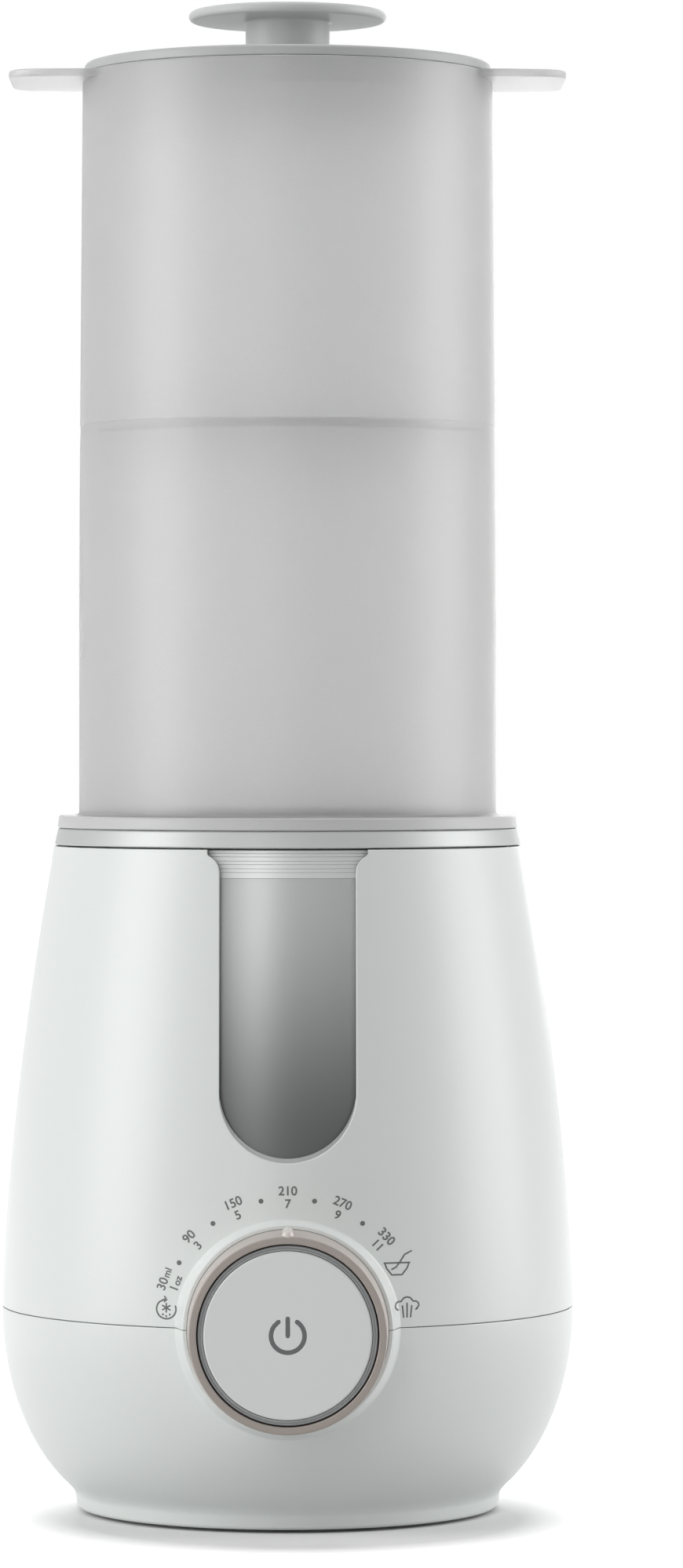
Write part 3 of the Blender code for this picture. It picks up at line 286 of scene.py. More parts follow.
class Colours(bpy.types.PropertyGroup):
    """Colours of the surfaces."""
    casing: colour("Casing", "White moulded plastic", "#E8ECEA")
    column: colour("Column", "Frosted plastic", "#E6E6E6")
    lid: colour("Lid", "Grey moulded plastic", "#BCBEBD")
    knob: colour("Knob", "Grey moulded plastic, a shade paler", "#CCCECD")
    collar: colour("Collar", "Silver lacquer", "#BABDBC")
    cup: colour("Cup", "Smoky plastic, near the rim", "#B2B3B3")
    # Painted shade: the darker colour that the smoky cup and pane take on towards their foot
    smoke: colour("Smoke", "Smoky plastic, at the foot", "#565757")
    band: colour("Cup band", "Pearl plastic of the pane's rim", "#C4C5C5")
    chamber: colour("Chamber", "Pale grey of the cup's closed part", "#D9DBDA")
    dial: colour("Dial", "Warm grey lacquer", "#A59C96")
    # Painted highlight: the dial's outer side gets a paler copy of the dial's lacquer
    dial_side: colour("Dial side", "The same lacquer on the dial's outer side, paler", "#C2BAB5")
    nub: colour("Nub", "Pale polished plastic", "#E2DCD8")
    trim: colour("Trim ring", "Grey polished plastic", "#A0A2A3")
    button: colour("Button", "Light grey moulded plastic", "#F0F2F1")
    ink: colour("Print", "Grey pad-printed ink", "#6A6C6D")
    nylon: colour("Nylon", "Black moulded nylon", "#2B2B2C")
    board: colour("Board", "Green solder mask", "#1F5A35")
    aluminium: colour("Aluminium", "Drawn aluminium", "#DADBDC")
    steel: colour("Steel", "Plated steel", "#C3C4C5")
    silicone: colour("Silicone", "Milky silicone", "#E0DED6")
    rubber: colour("Rubber", "Grey rubber", "#6A6B6B")
    floor: colour("Floor", "Pale studio floor", "#F8F8F8")
    bounce: colour("Floor bounce", "The floor as the object's underside meets it", "#CACACA")


class StageSettings(bpy.types.PropertyGroup):
    """Camera and lights of the studio."""
    distance: length("Camera distance", "From the camera to the body's axis", 1.57)
    height: length("Camera height", "Height of the camera", 0.191)
    lens: bpy.props.FloatProperty(name="Lens", description="Focal length in millimetres", default=146.9)
    turn: bpy.props.FloatProperty(name="Turn", description="How far the camera looks to the right",
                                  default=math.radians(0.4814), subtype="ANGLE")
    tilt: bpy.props.FloatProperty(name="Tilt", description="How far the camera looks down",
                                  default=math.radians(0.485), subtype="ANGLE")
    fill: bpy.props.FloatProperty(name="Fill", description="Strength of the even light all round",
                                  default=0.22)


class WarmerSettings(bpy.types.PropertyGroup):
    """Everything that a user may change."""
    casing: bpy.props.PointerProperty(type=CasingSizes)
    chamber: bpy.props.PointerProperty(type=ChamberSizes)
    column: bpy.props.PointerProperty(type=ColumnSizes)
    dial: bpy.props.PointerProperty(type=DialSizes)
    colours: bpy.props.PointerProperty(type=Colours)
    stage: bpy.props.PointerProperty(type=StageSettings)


def add_node(tree, kind, inputs=None, **settings):
    """Add a node, set its options, and set or link its inputs."""
    node = tree.nodes.new(kind)
    for name, value in settings.items():
        setattr(node, name, value)
    for name, value in (inputs or {}).items():
        if isinstance(value, bpy.types.NodeSocket):
            tree.links.new(value, node.inputs[name])
        else:
            node.inputs[name].default_value = value
    return node


def grained(name, tone, roughness, grain, relief, shade=0.05, swing=0.05, stretch=(1.0, 1.0, 1.0),
            sockets=None):
    """Return a material whose tone, gloss and relief follow a grain of a real size in metres.

    shade is how much darker the pits are, swing how far the roughness varies, and stretch
    shortens the grain along an axis. sockets are further values of the shader.
    """
    known = bpy.data.materials.get(name)
    if known:
        return known
    material = bpy.data.materials.new(name)
    material.use_nodes = True
    tree = material.node_tree
    place = add_node(tree, "ShaderNodeTexCoord").outputs["Object"]
    turned_place = add_node(tree, "ShaderNodeMapping", {"Vector": place, "Scale": stretch}).outputs["Vector"]
    pits = add_node(tree, "ShaderNodeTexNoise", {"Vector": turned_place, "Scale": 1.0 / grain, "Detail": 2.0})
    height = pits.outputs["Fac"]
    tones = add_node(tree, "ShaderNodeMix", {0: height, 6: (*(c * (1.0 - shade) for c in tone), 1.0),
                                             7: (*(min(1.0, c * (1.0 + shade)) for c in tone), 1.0)},
                     data_type="RGBA")
    gloss = add_node(tree, "ShaderNodeMapRange", {"Value": height, "To Min": roughness - swing,
                                                  "To Max": roughness + swing})
    bump = add_node(tree, "ShaderNodeBump", {"Height": height, "Distance": relief, "Strength": 1.0})
    shader = tree.nodes["Principled BSDF"]
    tree.links.new(tones.outputs[2], shader.inputs["Base Color"])
    tree.links.new(gloss.outputs["Result"], shader.inputs["Roughness"])
    tree.links.new(bump.outputs["Normal"], shader.inputs["Normal"])
    for socket, value in (sockets or {}).items():
        shader.inputs[socket].default_value = value
    return material


# Each finish is named for its real material, and the comment says what that gives the eye. A row holds the
# name of its colour, the typical roughness, and the width of its grain and height of its relief in metres;
# fine grains are drawn as coarse as they need to show.
FINISHES = {
    # ABS from a spark-eroded tool: satin, with a fine pebble that softens reflections
    "moulded_white_abs": dict(tone="casing", roughness=0.35, grain=0.0004, relief=6e-6, shade=0.012,
                              sockets={"IOR": 1.53}),
    # Light passes but blurs, and the surface has a sandy speckle
    "frosted_polypropylene": dict(tone="column", roughness=0.42, grain=0.0005, relief=2e-5, shade=0.03,
                                  sockets={"IOR": 1.49, "Transmission Weight": 0.65}),
    # The same where it is moulded thick: milky, with little light left to pass
    "milky_polypropylene": dict(tone="column", roughness=0.42, grain=0.0005, relief=2e-5, shade=0.03,
                                sockets={"IOR": 1.49, "Transmission Weight": 0.3}),
    # Opaque grey, a little waxy
    "grey_polypropylene": dict(tone="lid", roughness=0.45, grain=0.0004, relief=6e-6, shade=0.015,
                               sockets={"IOR": 1.49}),
    # The same, a shade paler
    "pale_grey_polypropylene": dict(tone="knob", roughness=0.45, grain=0.0004, relief=6e-6, shade=0.015,
                                    sockets={"IOR": 1.49}),
    # Metal flakes in the lacquer give a soft metallic sheen with a faint sparkle
    "silver_lacquered_abs": dict(tone="collar", roughness=0.46, grain=0.00025, relief=2e-6, shade=0.03,
                                 sockets={"Metallic": 0.35}),
    # Smoky, with a pearl sheen: light gets in, and a painted shade darkens it towards the foot
    "smoky_copolyester": dict(tone="cup", roughness=0.34, grain=0.0008, relief=2e-6, shade=0.01, swing=0.02,
                              sockets={"IOR": 1.55, "Metallic": 0.45, "Transmission Weight": 0.15}),
    # Pale, and silvery where the light strikes it flat
    "pearl_copolyester": dict(tone="band", roughness=0.36, grain=0.0008, relief=2e-6, shade=0.01, swing=0.02,
                              sockets={"IOR": 1.55, "Metallic": 0.5}),
    # Pale grey, glossy where water runs off
    "chamber_polypropylene": dict(tone="chamber", roughness=0.22, grain=0.0008, relief=3e-6, shade=0.015,
                                  sockets={"IOR": 1.49}),
    # Warm grey pearl lacquer: satin, brighter where the light strikes it flat
    "taupe_lacquered_abs": dict(tone="dial", roughness=0.42, grain=0.00025, relief=2e-6, shade=0.02,
                                sockets={"Metallic": 0.1}),
    # The same lacquer on the dial's outer side, made paler as a painted highlight
    "pale_taupe_lacquered_abs": dict(tone="dial_side", roughness=0.42, grain=0.00025, relief=2e-6, shade=0.02,
                                     sockets={"Metallic": 0.1}),
    # Polished: pale and glossy, a little light scatters inside
    "pale_polycarbonate": dict(tone="nub", roughness=0.18, grain=0.0008, relief=2e-6, shade=0.01,
                               sockets={"IOR": 1.58, "Subsurface Weight": 0.2, "Subsurface Scale": 0.0005}),
    # A light guide: dark grey with a hard gloss
    "smoked_acrylic": dict(tone="trim", roughness=0.16, grain=0.0006, relief=2e-6, shade=0.03,
                           sockets={"IOR": 1.49, "Coat Weight": 0.4, "Coat Roughness": 0.05}),
    # Moulded with a matt touch face
    "light_grey_abs": dict(tone="button", roughness=0.55, grain=0.0003, relief=5e-6, shade=0.012,
                           sockets={"IOR": 1.53}),
    # A thin matt film that is slightly uneven
    "pad_print_ink": dict(tone="ink", roughness=0.60, grain=0.0003, relief=3e-6, shade=0.06),
    # Glass-filled: dark, dull, with faint pale fibres
    "black_nylon": dict(tone="nylon", roughness=0.55, grain=0.0005, relief=1e-5, shade=0.2,
                        stretch=(1.0, 1.0, 0.3), sockets={"IOR": 1.53}),
    # Green and glossy, with a faint weave below
    "solder_mask_board": dict(tone="board", roughness=0.35, grain=0.0008, relief=5e-6, shade=0.15),
    # Bright metal with a fine stretched grain
    "drawn_aluminium": dict(tone="aluminium", roughness=0.34, grain=0.0005, relief=4e-6, shade=0.04,
                            stretch=(1.0, 6.0, 1.0), sockets={"Metallic": 1.0}),
    # Zinc on steel: metal with a cloudy, slightly uneven gloss
    "plated_steel": dict(tone="steel", roughness=0.32, grain=0.0006, relief=3e-6, shade=0.06, swing=0.10,
                         sockets={"Metallic": 1.0}),
    # Milky, with a soft sheen, light scatters inside
    "milky_silicone": dict(tone="silicone", roughness=0.50, grain=0.0010, relief=5e-6, shade=0.03,
                           sockets={"IOR": 1.41, "Transmission Weight": 0.2}),
    # Dull, with a dusty grain
    "moulded_rubber": dict(tone="rubber", roughness=0.80, grain=0.0005, relief=2e-5, shade=0.10),
}


def finish(name):
    """Return a finish of the table as a material."""
    row = dict(FINISHES[name])
    return grained(name, getattr(settings().colours, row.pop("tone")), **row)


def smoky_finish():
    """Return the smoky finish, darkened towards the cup's foot by a painted shade."""
    known = bpy.data.materials.get("smoky_copolyester")
    if known:
        return known
    material = finish("smoky_copolyester")
    tree = material.node_tree
    shader = tree.nodes["Principled BSDF"]
    clear_tone = shader.inputs["Base Color"].links[0].from_socket
    place = add_node(tree, "ShaderNodeTexCoord").outputs["Object"]
    height = add_node(tree, "ShaderNodeSeparateXYZ", {"Vector": place}).outputs["Z"]
    # Painted shade: below the top height the colour darkens towards the foot colour
    share = add_node(tree, "ShaderNodeMapRange",
                     {"Value": height, "From Min": PAINTED_SHADE_LOW, "From Max": PAINTED_SHADE_TOP},
                     interpolation_type="SMOOTHSTEP").outputs["Result"]
    painted_shade_mix = add_node(tree, "ShaderNodeMix", {0: share, 6: (*settings().colours.smoke, 1.0), 7: clear_tone},
                    data_type="RGBA")
    tree.links.new(painted_shade_mix.outputs[2], shader.inputs["Base Color"])
    return material


def spaced(first, last, count):
    """Return evenly spaced values, both ends included."""
    return [first + (last - first) * step / (count - 1) for step in range(count)]


def settings():
    """Return the add-on's settings."""
    return bpy.context.scene.warmer


def points_of(result):
    """Return the vertices among what a bmesh operator made."""
    return {item for item in result["geom"] if isinstance(item, bmesh.types.BMVert)}


def wire(outline, closed):
    """Return a bmesh with an outline of (radius, height) or (radius, height, rounding) corners."""
    bm = bmesh.new()
    corners = [bm.verts.new((corner[0], 0.0, corner[1])) for corner in outline]
    for pair in zip(corners, corners[1:]):
        bm.edges.new(pair)
    if closed:
        bm.edges.new((corners[-1], corners[0]))
    for rounding in sorted({corner[2] for corner in outline if len(corner) > 2}):
        picked = [vert for vert, corner in zip(corners, outline) if corner[2:] == (rounding,)]
        bmesh.ops.bevel(bm, geom=picked, offset=rounding, affect="VERTICES", segments=ROUND_SEGMENTS,
                        profile=0.5, material=-1)
    return bm


def spin_round(bm, steps):
    """Spin everything in a bmesh once round Z and close its seam and poles."""
    bmesh.ops.spin(bm, geom=bm.verts[:] + bm.edges[:], axis=(0, 0, 1), cent=(0, 0, 0), angle=math.tau,
                   steps=steps, use_merge=True)
    bmesh.ops.remove_doubles(bm, verts=bm.verts, dist=MERGE)
    bmesh.ops.recalc_face_normals(bm, faces=bm.faces)


def turned(outline, steps=STEPS_ROUND):
    """Spin an outline into a closed piece; an outline that starts on the axis also ends there."""
    bm = wire(outline, closed=outline[0][0] > 0.0)
    spin_round(bm, steps)
    return bm


def swung(outline, first, sweep, steps):
    """Swing a closed outline part of the way round Z, from a first angle, and close both its ends."""
    bm = wire(outline, closed=True)
    bmesh.ops.rotate(bm, cent=(0, 0, 0), verts=bm.verts, matrix=Matrix.Rotation(first, 3, "Z"))
    end = bmesh.ops.contextual_create(bm, geom=bm.edges[:])["faces"]
    bmesh.ops.spin(bm, geom=end, axis=(0, 0, 1), cent=(0, 0, 0), angle=sweep, steps=steps)
    bmesh.ops.recalc_face_normals(bm, faces=bm.faces)
    return bm


def bar(x_half, y_half, low, high):
    """Return a box round Z."""
    bm = bmesh.new()
    bmesh.ops.create_cube(bm, size=1.0)
    bmesh.ops.scale(bm, vec=(2 * x_half, 2 * y_half, high - low), verts=bm.verts)
    bmesh.ops.translate(bm, vec=(0.0, 0.0, (low + high) / 2), verts=bm.verts)
    return bm


def add_drill(bm, place, reach, depth, segments=STEPS_SMALL):
    """Add a cylinder, which cuts a round hole or stands for a dot."""
    bmesh.ops.create_cone(bm, cap_ends=True, segments=segments, radius1=reach, radius2=reach, depth=depth,
                          matrix=place)


def add_to(bm, other, place=Matrix.Identity(4)):
    """Add another bmesh's shapes to a bmesh, at a place."""
    mesh = bpy.data.meshes.new("passing_shape")
    other.transform(place)
    other.to_mesh(mesh)
    other.free()
    bm.from_mesh(mesh)
    bpy.data.meshes.remove(mesh)


def add_object(name, bm, place):
    """Turn a bmesh into an object whose place is in its mesh."""
    bm.transform(place)
    mesh = bpy.data.meshes.new(name)
    bm.to_mesh(mesh)
    bm.free()
    piece = bpy.data.objects.new(name, mesh)
    bpy.context.scene.collection.objects.link(piece)
    return piece


def add_piece(name, bm, place, material, body, nodes=()):
    """Turn a bmesh into a finished piece that rides on a body and stands for CAD nodes."""
    piece = add_object(name, bm, place)
    piece.data.shade_smooth()
    piece.data.set_sharp_from_angle(angle=SHARP)
    piece.data.materials.append(material)
    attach(piece, body)
    if nodes:
        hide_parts(*nodes)
    return piece


def paint_where(piece, material, chosen):
    """Give a piece a second material on the faces that a test picks."""
    piece.data.materials.append(material)
    for face in piece.data.polygons:
        face.material_index = int(chosen(face))


def even_shading(piece):
    """Let large faces lead the shading, so that flats look flat beside their rounded edges."""
    evened = piece.modifiers.new("Even shading", "WEIGHTED_NORMAL")
    evened.keep_sharp = True


def thicken(piece, wall):
    """Give an open skin its wall, inwards."""
    walled = piece.modifiers.new("Wall", "SOLIDIFY")
    walled.thickness = wall
    walled.offset = -1.0


def cut(piece, bm, place):
    """Cut a shape out of a piece for good."""
    cutter = add_object("passing_cutter", bm, place)
    boolean = piece.modifiers.new("Cut", "BOOLEAN")
    boolean.operation = "DIFFERENCE"
    boolean.object = cutter
    bpy.context.view_layer.update()
    shown = piece.evaluated_get(bpy.context.evaluated_depsgraph_get())
    mesh = bpy.data.meshes.new_from_object(shown)
    mesh.name = piece.name
    piece.modifiers.remove(boolean)
    piece.data = mesh
    mesh.shade_smooth()
    mesh.set_sharp_from_angle(angle=SHARP)
    bpy.data.objects.remove(cutter)


def body_radius(casing, z):
    """Return the casing's outside radius at a height: a taper above the seam, a bowl below it."""
    if z >= SEAM_Z:
        share = (z - SEAM_Z) / (RIM_Z - SEAM_Z)
        return BODY_R - (BODY_R - casing.rim_radius) * share ** casing.taper
    drop = min(1.0, (SEAM_Z - z) / casing.bowl_drop)
    return casing.bowl_middle + (BODY_R - casing.bowl_middle) * math.sqrt(1.0 - drop * drop)


def body_depth(casing, x, z):
    """Return the depth of the casing's skin at a point of the front view, without the boss."""
    return math.sqrt(body_radius(casing, z) ** 2 - x * x)


def blend(first, second, width):
    """Return how far a soft meeting of two surfaces stands off their sharp one."""
    overlap = max(0.0, 1.0 - abs(first - second) / width)
    return width * overlap * overlap / 4


def front_depth(casing, x, z):
    """Return the depth of the casing's skin, with the boss running softly into it."""
    skin = body_depth(casing, x, z)
    flank = casing.boss_front - casing.boss_slope * (math.hypot(x, z - SEAM_Z) - casing.boss_radius)
    raised = max(skin, flank) + blend(skin, flank, casing.boss_blend)
    return min(raised, casing.boss_front) - blend(raised, casing.boss_front, casing.boss_crest)


def open_hole(bm, low, high, half_angle, front):
    """Delete the skin's faces in a patch at the front or the back and return the edges round it."""
    side = -1.0 if front else 1.0

    def in_patch(face):
        spot = face.calc_center_median()
        return low < spot.z < high and abs(math.atan2(spot.x, side * spot.y)) < half_angle

    doomed = [face for face in bm.faces if in_patch(face)]
    gone = set(doomed)
    rim = [edge for edge in bm.edges if len(edge.link_faces) == 2
           and len(gone.intersection(edge.link_faces)) == 1]
    bmesh.ops.delete(bm, geom=doomed, context="FACES")
    return rim


def loft(bm, casing, rim, rings, spot, side):
    """Extrude the edges round a hole, ring by ring, to where spot sends each point of the rim.

    How far the rim lies under the casing's skin is carried along, so that the rounding of the
    shell's own edges is. side is -1 at the front and 1 at the back.
    """
    start = bm.verts.layers.float_vector["start"]
    for vert in {vert for edge in rim for vert in edge.verts}:
        x, y, z = vert.co
        vert[start] = (x, body_depth(casing, x, z) - side * y, z)
    for ring in rings:
        grown = bmesh.ops.extrude_edge_only(bm, edges=rim)
        fresh = points_of(grown)
        for vert in fresh:
            x0, inset, z0 = vert[start]
            x, z, depth = spot(x0, z0, *ring)
            vert.co = (x, side * (depth - inset), z)
        rim = [item for item in grown["geom"] if isinstance(item, bmesh.types.BMEdge)
               and fresh.issuperset(item.verts)]


def on_circle(x, z, centre_z, reach):
    """Return the point of a circle that lies in the same direction from its centre."""
    scale = reach / math.hypot(x, z - centre_z)
    return x * scale, centre_z + (z - centre_z) * scale


def part_way(first, last, share):
    """Return the point that lies a share of the way from one point to another."""
    return tuple(a + (b - a) * share for a, b in zip(first, last))


def loft_boss(bm, casing, rim):
    """Run the casing's skin from the hole's edge up into the boss and back into its bore."""
    lip = BOSS_LIP
    rings = [(share, casing.boss_patch, None) for share in (0.35, 0.7, 1.0)]
    rings += [(1.0, reach, None) for reach in spaced(casing.boss_patch, casing.boss_root, 6)[1:]]
    rings += [(1.0, reach, None) for reach in spaced(casing.boss_root, casing.boss_bore + lip, 28)[1:]]
    rings += [(1.0, casing.boss_bore + lip * (1 - math.sin(a)), casing.boss_front - lip * (1 - math.cos(a)))
              for a in spaced(0.0, math.pi / 2, 4)[1:]]
    rings += [(1.0, casing.boss_bore, depth) for depth in spaced(casing.boss_front, BOSS_BACK, 6)[1:]]

    def spot(x0, z0, share, reach, depth):
        x, z = part_way((x0, z0), on_circle(x0, z0, SEAM_Z, reach), share)
        return x, z, front_depth(casing, x, z) if depth is None else depth

    loft(bm, casing, rim, rings, spot, -1.0)


def window_half(casing, z):
    """Return half the window's width at a height above the middle of its round foot."""
    rise = min(max(0.0, z - casing.shoulder_z), casing.shoulder)
    flare = casing.shoulder - math.sqrt(casing.shoulder ** 2 - rise ** 2)
    return casing.window_half + min(flare, casing.flare_half - casing.window_half)


def loft_window(bm, casing, rim):
    """Run the casing's skin from the hole's edge to the window's rounded lip and in along its jamb."""
    centre = casing.window_low + casing.window_half
    lip = casing.lip
    far, near, close = 0.003, 0.002, 0.0012
    rings = [(share, far, 0.0, 0.0) for share in (0.3, 0.6, 0.85, 1.0)]
    rings += [(1.0, grow, 0.0, 0.0) for grow in (near, close)]
    rings += [(1.0, lip * (1 - math.sin(a)), lip * (1 - math.cos(a)), 0.0)
              for a in spaced(0.0, math.pi / 2, 6)]
    rings += [(1.0, 0.0, lip, sunk) for sunk in (0.5, 1.0)]

    def spot(x0, z0, share, grow, drop, sunk):
        if z0 >= centre:
            edge = math.copysign(window_half(casing, z0) + grow, x0), z0
        else:
            edge = on_circle(x0, z0, centre, casing.window_half + grow)
        x, z = part_way((x0, z0), edge, share)
        return x, z, body_depth(casing, x, z) - drop - (casing.jamb - lip) * sunk

    loft(bm, casing, rim, rings, spot, -1.0)


def skin_of(outline):
    """Spin an open outline into the skin of a shell, ready for holes to be lofted from."""
    bm = wire(outline, closed=False)
    bm.verts.layers.float_vector.new("start")
    spin_round(bm, STEPS_BODY)
    outermost = max(bm.faces, key=lambda face: face.calc_center_median().x)
    if outermost.normal.x < 0.0:
        bmesh.ops.reverse_faces(bm, faces=bm.faces)
    return bm


class WARMER_OT_upper_casing(bpy.types.Operator):
    """Model the upper shell with its window and its half of the dial's boss"""
    bl_idname = "warmer.upper_casing"
    bl_label = "Upper casing"

    def execute(self, context):
        casing = settings().casing
        low, edge = SEAM_Z + casing.seam / 2, casing.edge
        quarter = spaced(0.0, math.pi / 2, 4)
        outline = [(BODY_R - edge * (1 - math.sin(a)), low + edge * (1 - math.cos(a))) for a in quarter]
        plain = casing.shoulder_z - 0.001
        outline += [(body_radius(casing, z), z) for z in spaced(low + edge, plain, 74)[1:]]
        outline += [(body_radius(casing, z), z) for z in spaced(plain, RIM_Z - edge, 16)[1:]]
        outline += [(casing.rim_radius - edge * (1 - math.cos(a)), RIM_Z - edge * (1 - math.sin(a)))
                    for a in quarter[1:]]
        bm = skin_of(outline)
        window = open_hole(bm, casing.window_low - WINDOW_MARGIN, math.inf, WINDOW_ANGLE, front=True)
        boss = open_hole(bm, 0.0, SEAM_Z + casing.boss_patch + BOSS_MARGIN, BOSS_ANGLE, front=True)
        loft_window(bm, casing, window)
        loft_boss(bm, casing, boss)
        piece = add_piece("upper_casing", bm, ON_AXIS, finish("moulded_white_abs"), "base",
                          ["upper_shell"])
        thicken(piece, casing.wall)
        even_shading(piece)
        self.add_lip(casing, low)
        return {"FINISHED"}

    def add_lip(self, casing, low):
        """Add the lip that stands behind the seam, all round but for the dial's boss."""
        inner, outer, root = BODY_R - casing.wall - 0.0024, BODY_R - casing.wall - 0.0004, BODY_R - 0.0008
        tip, step, top = low - 0.0035, low + 0.0002, low + 0.0016
        outline = [(inner, tip), (outer, tip, CRISP), (outer, step), (root, step), (root, top), (inner, top)]
        first, sweep = math.radians(-62.0), math.radians(304.0)
        bm = swung(outline, first, sweep, 120)
        add_piece("seam_lip", bm, ON_AXIS, finish("moulded_white_abs"), "base")


class WARMER_OT_lower_casing(bpy.types.Operator):
    """Model the lower shell: a bowl on a narrow foot, with its half of the dial's boss"""
    bl_idname = "warmer.lower_casing"
    bl_label = "Lower casing"

    def execute(self, context):
        casing = settings().casing
        high, edge = SEAM_Z - casing.seam / 2, casing.edge
        crease_drop, foot_round = 0.0012, 0.0009
        outline = [(BODY_R - edge * (1 - math.sin(a)), high - edge * (1 - math.cos(a)))
                   for a in spaced(0.0, math.pi / 2, 4)]
        first = math.asin(2 * edge / casing.bowl_drop)
        last = math.asin((SEAM_Z - casing.neck_z) / casing.bowl_drop)
        bowl = [SEAM_Z - casing.bowl_drop * math.sin(turn) for turn in spaced(first, last, 46)]
        outline += [(body_radius(casing, z), z) for z in bowl]
        neck, crease = Vector(outline[-1]), Vector((casing.foot_top, casing.foot_top_z))
        below = Vector((casing.foot_top, casing.foot_top_z - crease_drop))
        for t in spaced(0.0, 1.0, 9)[1:]:
            outline.append(tuple(neck * (1 - t) ** 2 + crease * 2 * t * (1 - t) + below * t * t))
        outline += [(casing.foot_radius, FOOT_Z, foot_round), (casing.foot_bore, FOOT_Z)]
        bm = skin_of(outline)
        boss = open_hole(bm, SEAM_Z - casing.boss_patch - BOSS_MARGIN, math.inf, BOSS_ANGLE, front=True)
        inlet = open_hole(bm, INLET_Z - INLET_BELOW, INLET_Z + INLET_ABOVE, INLET_ANGLE, front=False)
        loft_boss(bm, casing, boss)
        self.loft_inlet(bm, casing, inlet)
        piece = add_piece("lower_casing", bm, ON_AXIS, finish("moulded_white_abs"), "base",
                          ["lower_shell"])
        thicken(piece, casing.wall)
        even_shading(piece)
        return {"FINISHED"}

    def loft_inlet(self, bm, casing, rim):
        """Run the skin from the hole's edge to the round hole of the mains inlet and in."""
        mouth, hole, deep = 0.0065, 0.0060, 0.0025
        rings = [(0.5, mouth, 0.0), (1.0, mouth, 0.0), (1.0, hole, SOFT), (1.0, hole, deep)]

        def spot(x0, z0, share, reach, drop):
            x, z = part_way((x0, z0), on_circle(x0, z0, INLET_Z, reach), share)
            return x, z, body_depth(casing, x, z) - drop

        loft(bm, casing, rim, rings, spot, 1.0)


class WARMER_OT_collar(bpy.types.Operator):
    """Model the silver collar on the casing's rim, with its skirt inside the cup"""
    bl_idname = "warmer.collar"
    bl_label = "Collar"

    def execute(self, context):
        sizes = settings().chamber
        skirt_low, top = heights("collar_ring")
        outline = [(sizes.collar_bore, top, SOFT), (sizes.collar_top, top, FULL),
                   (sizes.collar_radius, sizes.collar_low, FULL), (sizes.skirt, sizes.collar_low, FINE),
                   (sizes.skirt, skirt_low, CRISP), (sizes.collar_bore, skirt_low, CRISP)]
        even_shading(add_piece("silver_ring", turned(outline), ON_AXIS, finish("silver_lacquered_abs"),
                               "base", ["collar_ring"]))
        return {"FINISHED"}


class WARMER_OT_cup(bpy.types.Operator):
    """Model the water cup, the smoky pane that fills the window, and the sill at its foot, whose grey is
    painted shade
    """
    bl_idname = "warmer.cup"
    bl_label = "Water cup"

    def execute(self, context):
        sizes, casing = settings().chamber, settings().casing
        inner = sizes.cup_radius - sizes.cup_wall
        floor_top, curve_top = sizes.cup_floor + 0.0024, sizes.cup_floor + 0.003
        bend, fillet = 0.0020, 0.0030
        outline = [(inner, RIM_Z, SOFT), (sizes.cup_radius, RIM_Z, SOFT), (sizes.cup_radius, sizes.cup_band),
                   (sizes.cup_radius, sizes.cup_floor, bend), (sizes.cup_hole, sizes.cup_floor, SOFT),
                   (sizes.cup_hole, floor_top, BROAD), (inner, floor_top, fillet)]
        cup = add_piece("water_cup", turned(outline), ON_AXIS, smoky_finish(), "base", ["chamber_cup"])

        def closed_part(face):
            x, y = (face.center - AXIS).xy
            return abs(math.atan2(x, -y)) > CUP_FRONT or face.center.z < curve_top

        paint_where(cup, finish("chamber_polypropylene"), closed_part)
        even_shading(cup)
        pane = add_piece("window_pane", self.pane(sizes, casing), ON_AXIS, smoky_finish(), "base")
        paint_where(pane, finish("pearl_copolyester"), lambda face: face.center.z > sizes.cup_band)
        even_shading(pane)
        # Painted shade: the sill's grey stands in for the shade in the window's recessed foot
        add_piece("window_sill", self.sill(sizes, casing), ON_AXIS, finish("grey_polypropylene"), "base")
        return {"FINISHED"}

    def pane(self, sizes, casing):
        """Return the pane: it follows the casing's taper from behind and has fine grooves at its rim."""
        def skin(z, depth=0.0):
            return body_radius(casing, z) - sizes.pane_sink - depth, z

        foot, top = casing.window_low - 0.0030, RIM_Z - 0.0002
        groove, plain = sizes.groove, sizes.cup_band - 0.001
        outline = [skin(top, sizes.pane_wall), skin(top)]
        for z in (*GROOVES, sizes.cup_band):
            outline += [skin(z + groove), skin(z, groove), skin(z - groove)]
        outline += [skin(z) for z in spaced(plain, foot, 36)]
        outline += [skin(z, sizes.pane_wall) for z in spaced(foot, top, 12)[:-1]]
        return swung(outline, -math.pi / 2 - PANE_HALF, 2 * PANE_HALF, 48)

    def sill(self, sizes, casing):
        """Return the sill: a crescent in front of the pane that lies in the window's round foot; its grey is
        painted shade.
        """
        centre = casing.window_low + casing.window_half
        let_in = casing.window_half + 0.0003
        first, last = math.radians(188.0), math.radians(352.0)
        bm = bmesh.new()
        arc = [bm.verts.new((let_in * math.cos(a), 0.0, centre + let_in * math.sin(a)))
               for a in spaced(first, last, 65)]
        edges = [bm.edges.new(pair) for pair in zip(arc, arc[1:])]
        for vert in points_of(bmesh.ops.extrude_edge_only(bm, edges=edges)):
            vert.co.x, vert.co.z = on_circle(vert.co.x, vert.co.z, centre, casing.window_half)
            vert.co.z += sizes.sill
        behind = points_of(bmesh.ops.extrude_face_region(bm, geom=bm.faces[:]))
        for vert in bm.verts:
            sunk = sizes.pane_sink if vert in behind else 2 * casing.lip
            vert.co.y = sunk - body_depth(casing, vert.co.x, vert.co.z)
        bmesh.ops.recalc_face_normals(bm, faces=bm.faces)
        return bm


